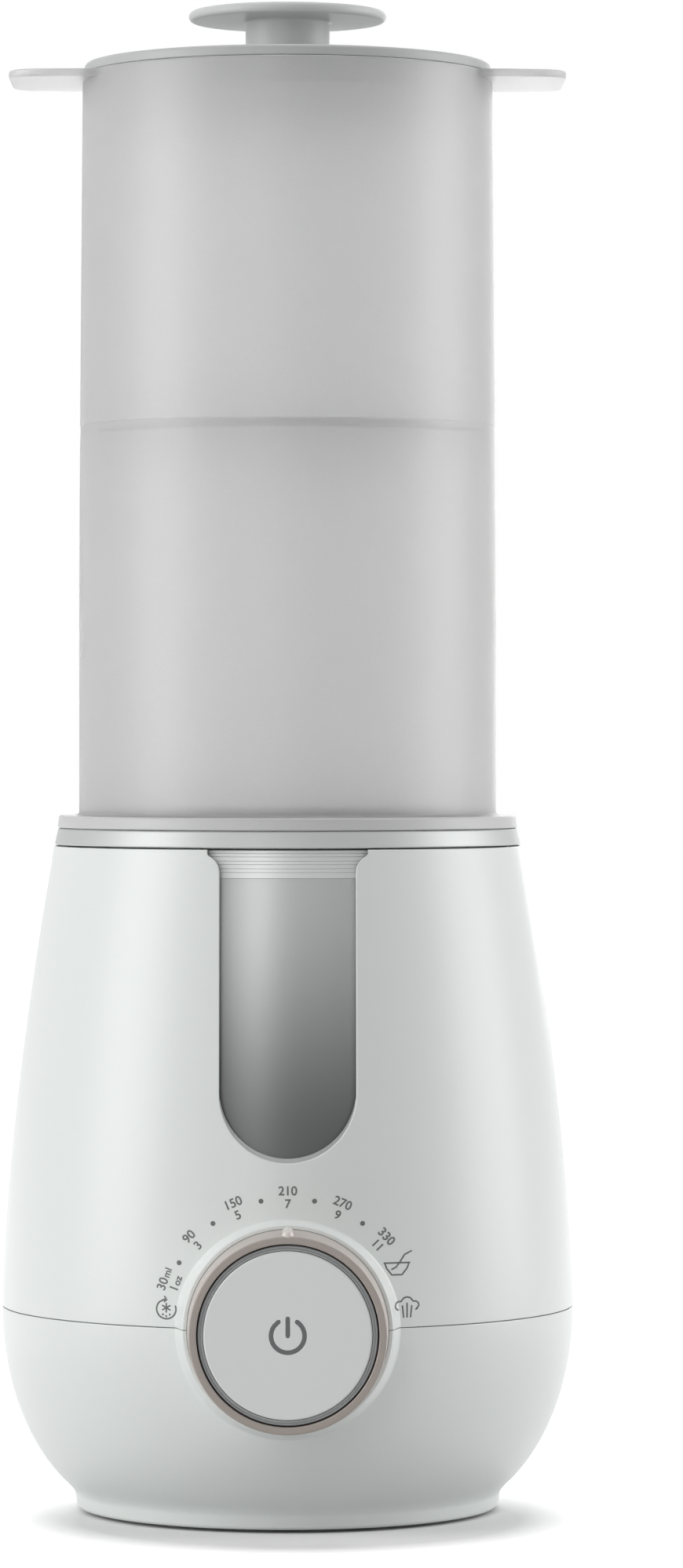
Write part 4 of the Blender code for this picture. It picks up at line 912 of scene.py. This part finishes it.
class WARMER_OT_heater(bpy.types.Operator):
    """Model the heater plate that closes the cup's floor, pressed with shallow rings"""
    bl_idname = "warmer.heater"
    bl_label = "Heater plate"

    def execute(self, context):
        sizes = settings().chamber
        low, top = heights("heater_plate")
        sheet, brim = sizes.plate_sheet, radius_of("heater_plate")
        dip, slope, width = 0.0004, 0.0015, 0.0060
        bend, shoulder = 0.0008, 0.0012
        outline = [(0.0, top)]
        for ring in HEATER_RINGS:
            outline += [(ring, top, bend), (ring + slope, top - dip, BROAD),
                        (ring + width - slope, top - dip, BROAD), (ring + width, top, bend)]
        well = sizes.plate_radius - sheet
        outline += [(sizes.plate_radius, top, shoulder), (sizes.plate_radius, low + sheet, bend),
                    (brim, low + sheet, SOFT), (brim, low, SOFT), (well, low, SOFT),
                    (well, top - sheet, SOFT), (0.0, top - sheet)]
        even_shading(add_piece("heater_dish", turned(outline), ON_AXIS, finish("drawn_aluminium"), "base",
                               ["heater_plate"]))
        return {"FINISHED"}


class WARMER_OT_column(bpy.types.Operator):
    """Model the frosted steam column with its flange, ledges and two ears"""
    bl_idname = "warmer.column"
    bl_label = "Steam column"

    def wall_radius(self, sizes, z, top):
        """Return the column's outside radius: straight at first, then a gentle taper."""
        share = max(0.0, (z - sizes.straight_z) / (top - sizes.straight_z))
        return sizes.radius - (sizes.radius - sizes.top_radius) * share ** COLUMN_TAPER

    def ear(self, sizes):
        """Return the right ear: a rounded plate whose inner edge follows the column's wall."""
        reach = radius_of("steam_column")
        inner = sizes.top_radius - sizes.wall / 2
        sweep = math.asin(sizes.ear_half / inner)
        bm = bmesh.new()
        corners = [bm.verts.new((reach, sizes.ear_half, sizes.ear_low)),
                   bm.verts.new((reach, -sizes.ear_half, sizes.ear_low))]
        root = [bm.verts.new((inner * math.cos(a), inner * math.sin(a), sizes.ear_low))
                for a in spaced(-sweep, sweep, 25)]
        bm.faces.new(corners + root)
        bmesh.ops.bevel(bm, geom=corners, offset=sizes.ear_corner, affect="VERTICES", segments=12,
                        profile=0.5, material=-1)
        raised = points_of(bmesh.ops.extrude_face_region(bm, geom=bm.faces[:]))
        bmesh.ops.translate(bm, vec=(0.0, 0.0, sizes.ear_top - sizes.ear_low), verts=list(raised))
        bmesh.ops.recalc_face_normals(bm, faces=bm.faces)
        rim = [edge for edge in bm.edges if edge.calc_face_angle(0.0) > math.radians(60.0)
               and abs(edge.verts[0].co.z - edge.verts[1].co.z) < MERGE
               and min(math.hypot(*vert.co.xy) for vert in edge.verts) > inner + MERGE]
        bmesh.ops.bevel(bm, geom=rim, offset=BROAD, affect="EDGES", segments=3, profile=0.5, material=-1)
        return bm

    def execute(self, context):
        sizes = settings().column
        low, top = heights("steam_column")
        lower_seat, upper_seat = heights("lower_tray")[0] - SEAT_GAP, heights("upper_tray")[0] - SEAT_GAP
        line_z = heights("upper_tray")[1]
        step_z, step_end = line_z - 0.0001, line_z - 0.0060
        flange_edge, fillet = sizes.flange_radius - 0.0004, 0.0010
        bore, ledge_low = sizes.radius - sizes.wall, upper_seat - sizes.ledge
        seat_wall = self.wall_radius(sizes, upper_seat, top) - sizes.wall
        outline = [(sizes.top_radius - sizes.wall, top, SOFT), (sizes.top_radius, top, FULL)]
        outline += [(self.wall_radius(sizes, z, top), z) for z in spaced(top, line_z, 8)[1:]]
        outline.append((self.wall_radius(sizes, line_z, top) - sizes.step, step_z))
        outline += [(self.wall_radius(sizes, z, top), z) for z in spaced(step_end, sizes.straight_z, 6)]
        outline += [(sizes.radius, sizes.flange_top, fillet), (flange_edge, sizes.flange_top, BROAD),
                    (sizes.flange_radius, sizes.flange_low, SOFT), (sizes.spigot, sizes.flange_low, CRISP),
                    (sizes.spigot_tip, low, SOFT), (sizes.lower_ledge, low, SOFT),
                    (sizes.lower_ledge, lower_seat, SOFT), (bore, lower_seat, SOFT), (bore, sizes.straight_z),
                    (seat_wall, ledge_low), (sizes.upper_ledge, ledge_low, HAIR),
                    (sizes.upper_ledge, upper_seat, HAIR), (seat_wall, upper_seat)]
        bm = turned(outline)
        for turn in (0.0, math.pi):
            add_to(bm, self.ear(sizes), Matrix.Rotation(turn, 4, "Z"))
        piece = add_piece("frosted_tower", bm, ON_AXIS, finish("frosted_polypropylene"), "column",
                          ["steam_column"])
        paint_where(piece, finish("milky_polypropylene"),
                    lambda face: face.center.z < sizes.flange_top + MERGE)
        even_shading(piece)
        return {"FINISHED"}


class WARMER_OT_trays(bpy.types.Operator):
    """Model the two steam trays with their rims and holes"""
    bl_idname = "warmer.trays"
    bl_label = "Steam trays"

    def execute(self, context):
        sizes = settings().column
        for node in ("lower_tray", "upper_tray"):
            low, top = heights(node)
            edge = radius_of(node)
            step, dip, dip_z = edge - 0.0030, edge - 0.0024, top - 0.0003
            outline = [(0.0, top), (step, top, BROAD), (dip, dip_z, CRISP), (edge, top, FULL),
                       (edge, low, SOFT), (0.0, low)]
            piece = add_piece(node.replace("tray", "sieve"), turned(outline), ON_AXIS,
                              finish("milky_polypropylene"), node, [node])
            holes = bmesh.new()
            through = 0.01
            for ring, count in TRAY_HOLES:
                for turn in range(count):
                    spot = Matrix.Rotation(math.tau * turn / count, 4, "Z") @ Matrix.Translation((ring, 0, 0))
                    add_drill(holes, Matrix.Translation((0, 0, low)) @ spot, sizes.tray_hole, through)
            cut(piece, holes, ON_AXIS)
            softened = piece.modifiers.new("Edges", "BEVEL")
            softened.width = 0.00025
            softened.segments = 2
            softened.limit_method = "ANGLE"
            softened.angle_limit = math.radians(50.0)
            even_shading(piece)
        return {"FINISHED"}


class WARMER_OT_lid(bpy.types.Operator):
    """Model the lid with its skirt, and the disc knob on its stem"""
    bl_idname = "warmer.lid"
    bl_label = "Lid and knob"

    def execute(self, context):
        sizes = settings().column
        skirt_low, top = heights("lid")
        edge, inner, hole = radius_of("lid"), sizes.lid_skirt - 0.0016, 0.0023
        crown, fillet = 0.0009, 0.0008
        outline = [(hole, top), (edge, top, crown), (edge, sizes.lid_low, CRISP),
                   (sizes.lid_skirt, sizes.lid_low, CRISP), (sizes.lid_skirt, skirt_low, FULL),
                   (inner, skirt_low, FULL), (inner, sizes.lid_low, fillet), (hole, sizes.lid_low)]
        even_shading(add_piece("lid_cover", turned(outline), ON_AXIS, finish("grey_polypropylene"), "lid",
                               ["lid"]))
        low, top = heights("lid_knob")
        edge, rounding = radius_of("lid_knob"), (top - sizes.disc_low) * 0.49
        bore_top = heights("lid_knob_screw")[1] + 0.0003
        outline = [(0.0, top), (edge, top, rounding), (edge, sizes.disc_low, rounding),
                   (sizes.stem, sizes.disc_low, fillet), (sizes.stem, low, CRISP), (hole, low),
                   (hole, bore_top), (0.0, bore_top)]
        even_shading(add_piece("lid_handle", turned(outline), ON_AXIS, finish("pale_grey_polypropylene"),
                               "lid", ["lid_knob"]))
        return {"FINISHED"}


class WARMER_OT_dial(bpy.types.Operator):
    """Model the turning dial ring and its pointer nub"""
    bl_idname = "warmer.dial"
    bl_label = "Dial"

    def execute(self, context):
        sizes = settings().dial
        back, front = depths("dial_ring")
        entry = settings().casing.boss_front
        outline = [(sizes.face, front, FULL), (sizes.back, entry, SOFT), (sizes.back, back, CRISP),
                   (sizes.bore, back, CRISP), (sizes.bore, front, CRISP)]
        band = add_piece("dial_band", turned(outline), ON_DIAL, finish("taupe_lacquered_abs"), "dial",
                         ["dial_ring"])

        def outer_side(face):
            reach = math.hypot(face.center.x - AXIS.x, face.center.z - SEAM_Z)
            return reach > sizes.face - CRISP and abs(face.normal.y) < 0.5

        # Painted highlight: the outer side gets the paler copy of the lacquer
        paint_where(band, finish("pale_taupe_lacquered_abs"), outer_side)
        even_shading(band)
        back, front = depths("dial_pointer")
        dome = sizes.nub * 0.95
        outline = [(0.0, front), (sizes.nub, front, dome), (sizes.nub, back, CRISP), (0.0, back)]
        spot = ON_DIAL @ Matrix.Translation((0.0, sizes.nub_ring, 0.0))
        even_shading(add_piece("dial_nub", turned(outline, STEPS_SMALL), spot, finish("pale_polycarbonate"),
                               "dial", ["dial_pointer"]))
        return {"FINISHED"}


class WARMER_OT_trim(bpy.types.Operator):
    """Model the grey trim ring with its fine concentric steps"""
    bl_idname = "warmer.trim"
    bl_label = "Trim ring"

    def execute(self, context):
        back, front = depths("light_ring")
        outer, bore = radius_of("light_ring"), radius_of("power_button") + 0.00012
        width = outer - bore
        dip = 0.00025
        outline = [(outer, back), (outer, front - dip, HAIR)]
        for share, drop in ((0.80, 0.0), (0.62, 0.0), (0.55, dip), (0.40, dip), (0.33, 0.0), (0.0, 0.0)):
            outline.append((bore + width * share, front - drop, HAIR / 2))
        outline.append((bore, back))
        even_shading(add_piece("trim_guide", turned(outline), ON_DIAL, finish("smoked_acrylic"), "base",
                               ["light_ring"]))
        return {"FINISHED"}


class WARMER_OT_button(bpy.types.Operator):
    """Model the power button, the sign printed on it and the spring behind it"""
    bl_idname = "warmer.button"
    bl_label = "Power button"

    def execute(self, context):
        sizes = settings().dial
        back, front = depths("power_button")
        outer = radius_of("power_button")
        face_back, skirt_back = 0.0792, 0.0680
        inside, skirt_bore = front - 0.0022, sizes.skirt - 0.0018
        outline = [(0.0, front), (outer, front, FULL), (outer, face_back, CRISP), (sizes.skirt, face_back),
                   (sizes.skirt, skirt_back, CRISP), (skirt_bore, skirt_back, CRISP),
                   (skirt_bore, inside, FULL), (sizes.stem, inside, FULL), (sizes.stem, back, SOFT),
                   (0.0, back)]
        even_shading(add_piece("button_cap", turned(outline), ON_DIAL, finish("light_grey_abs"), "button",
                               ["power_button"]))
        open_half, bar_top = math.radians(34.0), sizes.sign * 1.02
        ring = [(sizes.sign * math.sin(a), sizes.sign * math.cos(a))
                for a in spaced(open_half, math.tau - open_half, 49)]
        lines = [ring, [(0.0, bar_top), (0.0, 0.0)]]
        bm = strokes(lines, sizes.sign_stroke, sizes.print_height)
        add_piece("power_sign", bm, ON_DIAL @ Matrix.Translation((0.0, 0.0, front)), finish("pad_print_ink"),
                  "button")
        self.add_coil()
        return {"FINISHED"}

    def add_coil(self):
        """Wind the spring behind the button."""
        seat, tip = depths("button_spring")
        strand, turns, steps = 0.0005, 5, 36
        start = Matrix.Translation((radius_of("button_spring") - strand, 0.0, seat + strand))
        bm = bmesh.new()
        bmesh.ops.create_circle(bm, cap_ends=True, segments=12, radius=strand,
                                matrix=start @ Matrix.Rotation(math.pi / 2, 4, "X"))
        rise = (tip - seat - 2 * strand) / (turns * steps)
        bmesh.ops.spin(bm, geom=bm.faces[:], axis=(0, 0, 1), cent=(0, 0, 0), dvec=(0, 0, rise),
                       angle=math.tau * turns, steps=turns * steps)
        bmesh.ops.recalc_face_normals(bm, faces=bm.faces)
        coil = add_piece("button_coil", bm, ON_DIAL, finish("plated_steel"), "base", ["button_spring"])
        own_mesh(coil)


def strokes(lines, width, thickness):
    """Return flat round-ended strokes along lines of (x, y) points, standing on local XY.

    Each stroke runs back over its last points before it ends.
    """
    bm = bmesh.new()
    for line in lines:
        curve = bpy.data.curves.new("passing_stroke", "CURVE")
        curve.dimensions = "3D"
        curve.bevel_depth = width / 2
        curve.bevel_resolution = 2
        curve.use_fill_caps = True
        points = [Vector(line[0])]
        for end in map(Vector, line[1:]):
            begin, steps = points[-1], max(1, round((end - points[-1]).length / width))
            points += [begin.lerp(end, step / steps) for step in range(1, steps + 1)]
        sized = [(point, 1.0) for point in points]
        for end, before, at in ((points[0], points[1], 0), (points[-1], points[-2], len(sized))):
            out = (end - before).normalized() * width / 2
            tip = [(end + out * share, math.sqrt(1.0 - share * share)) for share in STROKE_TIP]
            sized[at:at] = tip[::-1] if at == 0 else tip
        spline = curve.splines.new("POLY")
        spline.points.add(len(sized) - 1)
        for target, (point, radius) in zip(spline.points, sized):
            target.co = (point.x, point.y, 0.0, 1.0)
            target.radius = radius
        add_to(bm, flat_shape(curve))
    bmesh.ops.scale(bm, vec=(1.0, 1.0, 2 * thickness / width), verts=bm.verts)
    return bm


def flat_shape(curve):
    """Turn a curve or a text into a bmesh and remove it."""
    holder = bpy.data.objects.new("passing_shape", curve)
    bpy.context.scene.collection.objects.link(holder)
    bpy.context.view_layer.update()
    mesh = bpy.data.meshes.new_from_object(holder.evaluated_get(bpy.context.evaluated_depsgraph_get()))
    bm = bmesh.new()
    bm.from_mesh(mesh)
    bmesh.ops.remove_doubles(bm, verts=bm.verts, dist=MERGE)
    bmesh.ops.recalc_face_normals(bm, faces=bm.faces)
    bpy.data.objects.remove(holder)
    bpy.data.meshes.remove(mesh)
    return bm


def lettering(words, size):
    """Return a word or a figure as a thin shape in local XY, centred."""
    sizes = settings().dial
    text = bpy.data.curves.new("passing_words", "FONT")
    text.body = words
    text.size = size
    text.align_x = "CENTER"
    text.align_y = "CENTER"
    text.offset = sizes.bold
    text.extrude = sizes.print_height
    return flat_shape(text)


class WARMER_OT_scale(bpy.types.Operator):
    """Print the dial's scale: volumes, ounces, dots and small signs"""
    bl_idname = "warmer.scale"
    bl_label = "Dial scale"

    def on_ring(self, turn, reach):
        """Return the place of a mark on a ring round the dial, turned with it."""
        reach *= 1.0 - settings().dial.wrap * math.sin(turn) ** 2
        return Matrix.Rotation(-turn, 4, "Z") @ Matrix.Translation((0.0, reach, 0.0))

    def signs(self):
        """Return the defrost, bowl and steam signs as lines of points, each with its place."""
        flake = [[(0.0, 0.0003), (0.0010 * math.cos(a), 0.0003 + 0.0010 * math.sin(a))]
                 for a in (math.tau * k / 6 + math.pi / 6 for k in range(6))]
        drops = [[(x, y), (x, y - 0.0002)]
                 for x, y in ((-0.0008, -0.0012), (0.0, -0.0016), (0.0008, -0.0012))]
        loop = [(0.0023 * math.sin(a), 0.0023 * math.cos(a)) for a in spaced(1.25, math.tau - 0.1, 25)]
        arrow = [(-0.0004, 0.0029), (0.0002, 0.0023), (-0.0004, 0.0017)]
        rim = [(-0.0030, 0.0003), (0.0030, 0.0003)]
        bowl = [(-0.0029, 0.0003), (-0.0024, -0.0010), (-0.0012, -0.0025), (0.0012, -0.0025),
                (0.0024, -0.0010), (0.0029, 0.0003)]
        spoon = [(-0.0012, -0.0012), (-0.0002, -0.0007), (0.0008, 0.0006), (0.0018, 0.0022), (0.0034, 0.0030)]
        cloud = []
        for middle_x, middle_y, size, first, last in ((-0.0018, 0.0004, 0.0010, 4.4, 1.3),
                                                      (0.0, 0.0010, 0.0014, 2.75, 0.40),
                                                      (0.0018, 0.0004, 0.0010, 1.84, -1.26)):
            cloud += [(middle_x + size * math.cos(a), middle_y + size * math.sin(a))
                      for a in spaced(first, last, 9)]
        steam = [[(x, y), (x * 0.75, -0.0023)]
                 for x, y in ((-0.0011, 0.0003), (0.0, 0.0009), (0.0011, 0.0003))]
        return (((-0.0286, 0.0044), [*flake, *drops, loop, arrow]), ((0.0257, 0.0150), [rim, bowl, spoon]),
                ((0.0281, 0.0048), [cloud, *steam]))

    def execute(self, context):
        sizes, casing = settings().dial, settings().casing
        thickness = sizes.print_height
        bm = bmesh.new()
        for number, (volume, ounces) in enumerate(zip(VOLUMES, OUNCES)):
            turn = (number - TOP_VOLUME) * sizes.step
            add_to(bm, lettering(str(volume), sizes.figure), self.on_ring(turn, sizes.figure_ring))
            add_to(bm, lettering(str(ounces), sizes.ounce), self.on_ring(turn, sizes.ounce_ring))
        first, unit_size, unit_drop = -TOP_VOLUME * sizes.step, sizes.figure * 0.78, 0.0002
        for unit, reach, aside in (("ml", sizes.figure_ring, 0.0029), ("oz", sizes.ounce_ring, 0.0020)):
            spot = self.on_ring(first, reach - unit_drop) @ Matrix.Translation((aside, 0.0, 0.0))
            add_to(bm, lettering(unit, unit_size), spot)
        for gap in range(len(VOLUMES) - 1):
            dot = bmesh.new()
            add_drill(dot, Matrix.Identity(4), sizes.dot, 2 * thickness, segments=24)
            add_to(bm, dot, self.on_ring((gap + 0.5 - TOP_VOLUME) * sizes.step, sizes.dot_ring))
        for (x, y), lines in self.signs():
            add_to(bm, strokes(lines, sizes.stroke, thickness), Matrix.Translation((x, y, 0.0)))
        for vert in bm.verts:
            vert.co.z += front_depth(casing, vert.co.x, SEAM_Z + vert.co.y)
        add_piece("dial_print", bm, ON_DIAL, finish("pad_print_ink"), "base")
        return {"FINISHED"}


class WARMER_OT_underside(bpy.types.Operator):
    """Model the base plate, its rubber pads and its screws"""
    bl_idname = "warmer.underside"
    bl_label = "Underside"

    def execute(self, context):
        low, top = heights("base_plate")
        edge, dished = radius_of("base_plate"), low + 0.0006
        dish, rim = edge - 0.0160, edge - 0.0154
        outline = [(0.0, dished), (dish, dished, SOFT), (rim, low, SOFT), (edge, low, SOFT),
                   (edge, top, CRISP), (0.0, top)]
        plate = add_piece("base_cover", turned(outline), ON_AXIS, finish("moulded_white_abs"), "base",
                          ["base_plate"])
        wells = bmesh.new()
        pad_room, screw_room, head_room = 0.0003, 0.0004, 0.0012
        for number in range(1, 5):
            pad, screw = f"foot_pad_{number}", f"base_screw_{number}"
            for node, room, high in ((pad, pad_room, heights(pad)[1] + pad_room),
                                     (screw, screw_room, low + head_room)):
                spot = Matrix.Translation((*middle(node).xy, 0.0))
                add_drill(wells, spot, radius_of(node) + room, 2 * high)
        cut(plate, wells, Matrix.Identity(4))
        even_shading(plate)
        for number in range(1, 5):
            pad = f"foot_pad_{number}"
            floor, roof = heights(pad)
            edge = radius_of(pad)
            spot = Matrix.Translation((*middle(pad).xy, 0.0))
            outline = [(0.0, roof), (edge, roof, CRISP), (edge, floor, FULL), (0.0, floor)]
            even_shading(add_piece(f"rubber_foot_{number}", turned(outline, STEPS_SMALL), spot,
                                   finish("moulded_rubber"), "base", [pad]))
            self.screw(f"plate_screw_{number}", f"base_screw_{number}", "base")
        self.screw("handle_screw", "lid_knob_screw", "lid")
        return {"FINISHED"}

    def screw(self, name, node, body):
        """Make a pan-head screw with a cross recess, head down, in place of a CAD screw."""
        low, tip = heights(node)
        head, shank = radius_of(node), radius_of(node) / 2
        thick, long_half, short_half = 0.0014, head * 0.62, head * 0.15
        dome, recess = thick * 0.6, thick * 0.55
        outline = [(0.0, tip), (shank, tip, SOFT), (shank, low + thick, FINE), (head, low + thick, FINE),
                   (head, low, dome), (0.0, low)]
        spot = Matrix.Translation((*middle(node).xy, 0.0))
        piece = add_piece(name, turned(outline, STEPS_SMALL), spot, finish("plated_steel"), body, [node])
        for x_half, y_half in ((long_half, short_half), (short_half, long_half)):
            cut(piece, bar(x_half, y_half, low - thick, low + recess), spot)
        even_shading(piece)


class WARMER_OT_inlet(bpy.types.Operator):
    """Model the bush that the mains lead enters by, at the back"""
    bl_idname = "warmer.inlet"
    bl_label = "Mains inlet bush"

    def execute(self, context):
        low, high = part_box("mains_inlet_bush")
        inner_end, outer_end = low.y - AXIS.y, high.y - AXIS.y
        inner, barrel, outer, bore = radius_of("mains_inlet_bush"), 0.0057, 0.0074, 0.0034
        flange_back, nut_front = outer_end - 0.0020, inner_end + 0.0030
        crown, mouth = 0.0007, 0.0010
        outline = [(outer, outer_end, crown), (outer, flange_back, CRISP), (barrel, flange_back, CRISP),
                   (barrel, nut_front, CRISP), (inner, nut_front, CRISP), (inner, inner_end, SOFT),
                   (bore, inner_end, SOFT), (bore, outer_end, mouth)]
        to_back = Matrix.Translation((AXIS.x, AXIS.y, INLET_Z)) @ Matrix.Rotation(-math.pi / 2, 4, "X")
        even_shading(add_piece("inlet_bushing", turned(outline, STEPS_SMALL * 2), to_back,
                               finish("moulded_white_abs"), "base", ["mains_inlet_bush"]))
        return {"FINISHED"}


class WARMER_OT_works(bpy.types.Operator):
    """Give the pieces inside the casing their materials"""
    bl_idname = "warmer.works"
    bl_label = "Inner works"

    def execute(self, context):
        groups = {
            "black_nylon": ("dial_housing", "dial_gear", "encoder_pinion", "dial_encoder", "button_switch",
                            "switch_plunger", "thermostat", "terminal_block"),
            "plated_steel": ("heating_element", "heater_clamp", "temperature_sensor", "clamp_screw",
                             "housing_screw", "board_screw"),
            "milky_silicone": ("chamber_seal", "heater_lead", "sensor_lead", "indicator_lamp"),
            "solder_mask_board": ("control_board",),
        }
        for name, starts in groups.items():
            for node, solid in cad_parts.items():
                if node.startswith(starts) and not solid.hide_render:
                    solid.data.materials.clear()
                    solid.data.materials.append(finish(name))
        return {"FINISHED"}


class WARMER_OT_stage(bpy.types.Operator):
    """Set the floor, the studio lights, the white surround and the camera"""
    bl_idname = "warmer.stage"
    bl_label = "Stage"

    def softbox(self, name, spot, aim, width, tall, power):
        """Add a large soft light that faces a point."""
        lamp = bpy.data.lights.new(name, "AREA")
        lamp.shape = "RECTANGLE"
        lamp.size, lamp.size_y = width, tall
        lamp.energy = power
        holder = bpy.data.objects.new(name, lamp)
        holder.location = spot
        holder.rotation_euler = (Vector(aim) - Vector(spot)).to_track_quat("-Z", "Y").to_euler()
        bpy.context.scene.collection.objects.link(holder)

    def white_for_lookers(self, tree):
        """Return a factor that is 1 where the camera, a reflection or a clear piece looks."""
        path = add_node(tree, "ShaderNodeLightPath").outputs
        seen = add_node(tree, "ShaderNodeMath", {0: path["Is Camera Ray"], 1: path["Is Glossy Ray"]},
                        operation="MAXIMUM").outputs[0]
        return add_node(tree, "ShaderNodeMath", {0: seen, 1: path["Is Transmission Ray"]},
                        operation="MAXIMUM").outputs[0]

    def surround(self, fill):
        """Make the world white to the eye and an even, weaker light to the surfaces."""
        world = bpy.data.worlds.new("studio_surround")
        world.use_nodes = True
        bpy.context.scene.world = world
        tree = world.node_tree
        strength = add_node(tree, "ShaderNodeMapRange",
                            {"Value": self.white_for_lookers(tree), "To Min": fill, "To Max": 1.0})
        tree.links.new(strength.outputs["Result"], tree.nodes["Background"].inputs["Strength"])
        tree.nodes["Background"].inputs["Color"].default_value = (1.0, 1.0, 1.0, 1.0)

    def floor(self, tone):
        """Lay a pale floor that looks white to the eye, keeps the object's shadow, adds a painted contact
        shadow round the object's foot, and lights the object little.
        """
        bm = bmesh.new()
        bmesh.ops.create_grid(bm, x_segments=4, y_segments=4, size=8.0)
        piece = add_object("studio_floor", bm, Matrix.Identity(4))
        paint = grained("studio_floor_paint", tone, roughness=0.90, grain=0.004, relief=0.0, shade=0.004)
        tree = paint.node_tree
        place = add_node(tree, "ShaderNodeTexCoord").outputs["Object"]
        away = add_node(tree, "ShaderNodeVectorMath", {0: place, 1: PAINTED_SHADOW_MIDDLE},
                        operation="DISTANCE").outputs["Value"]
        # Painted shadow: near the object the floor's white is held back, round a middle set off towards the
        # front
        near = add_node(tree, "ShaderNodeMapRange",
                        {"Value": away, "From Min": PAINTED_SHADOW_FADE[0], "From Max": PAINTED_SHADOW_FADE[1],
                         "To Min": 0.0, "To Max": FLOOR_LIFT}).outputs["Result"]
        lift = add_node(tree, "ShaderNodeMapRange",
                        {"Value": away, "From Min": LIFT_FAR[0], "From Max": LIFT_FAR[1],
                         "To Min": near, "To Max": 1.0}).outputs["Result"]
        lookers = self.white_for_lookers(tree)
        glow = add_node(tree, "ShaderNodeMath", {0: lift, 1: lookers}, operation="MULTIPLY")
        shader = tree.nodes["Principled BSDF"]
        pale = shader.inputs["Base Color"].links[0].from_socket
        shown = add_node(tree, "ShaderNodeMix", {0: lookers, 6: (*settings().colours.bounce, 1.0), 7: pale},
                         data_type="RGBA")
        tree.links.new(shown.outputs[2], shader.inputs["Base Color"])
        shader.inputs["Emission Color"].default_value = (1.0, 1.0, 1.0, 1.0)
        tree.links.new(glow.outputs[0], shader.inputs["Emission Strength"])
        piece.data.materials.append(paint)

    def camera(self, stage):
        """Stand the camera where the photograph was taken from."""
        data = bpy.data.cameras.new("camera")
        data.lens = stage.lens
        data.sensor_width = 36.0
        camera = bpy.data.objects.new("camera", data)
        camera.location = (AXIS.x, AXIS.y - stage.distance, stage.height)
        camera.rotation_euler = (math.pi / 2 - stage.tilt, 0.0, -stage.turn)
        bpy.context.scene.collection.objects.link(camera)
        bpy.context.scene.camera = camera

    def execute(self, context):
        stage = settings().stage
        context.scene.view_settings.view_transform = "Standard"
        self.surround(stage.fill)
        self.floor(settings().colours.floor)
        for lamp in LAMPS:
            self.softbox(*lamp)
        self.camera(stage)
        return {"FINISHED"}


class WARMER_PT_sidebar(bpy.types.Panel):
    """List the warmer's pieces in the 3D view's sidebar"""
    bl_idname = "WARMER_PT_sidebar"
    bl_label = "Bottle warmer"
    bl_space_type = "VIEW_3D"
    bl_region_type = "UI"
    bl_category = "Warmer"

    def draw(self, context):
        for operator in OPERATORS:
            self.layout.operator(operator.bl_idname)


OPERATORS = (
    WARMER_OT_upper_casing, WARMER_OT_lower_casing, WARMER_OT_collar, WARMER_OT_cup, WARMER_OT_heater,
    WARMER_OT_column, WARMER_OT_trays, WARMER_OT_lid, WARMER_OT_dial, WARMER_OT_trim, WARMER_OT_button,
    WARMER_OT_scale, WARMER_OT_underside, WARMER_OT_inlet, WARMER_OT_works, WARMER_OT_stage,
)
GROUPS = (CasingSizes, ChamberSizes, ColumnSizes, DialSizes, Colours, StageSettings, WarmerSettings)


def register():
    """Register the classes and hang the settings on the scene."""
    for kind in GROUPS + OPERATORS + (WARMER_PT_sidebar,):
        bpy.utils.register_class(kind)
    bpy.types.Scene.warmer = bpy.props.PointerProperty(type=WarmerSettings)


def unregister():
    """Take the settings and the classes away again."""
    del bpy.types.Scene.warmer
    for kind in reversed(GROUPS + OPERATORS + (WARMER_PT_sidebar,)):
        bpy.utils.unregister_class(kind)


def main():
    """Make every piece in order."""
    register()
    for operator in OPERATORS:
        getattr(bpy.ops.warmer, operator.bl_idname.split(".")[1])()


if __name__ == "__main__":
    main()
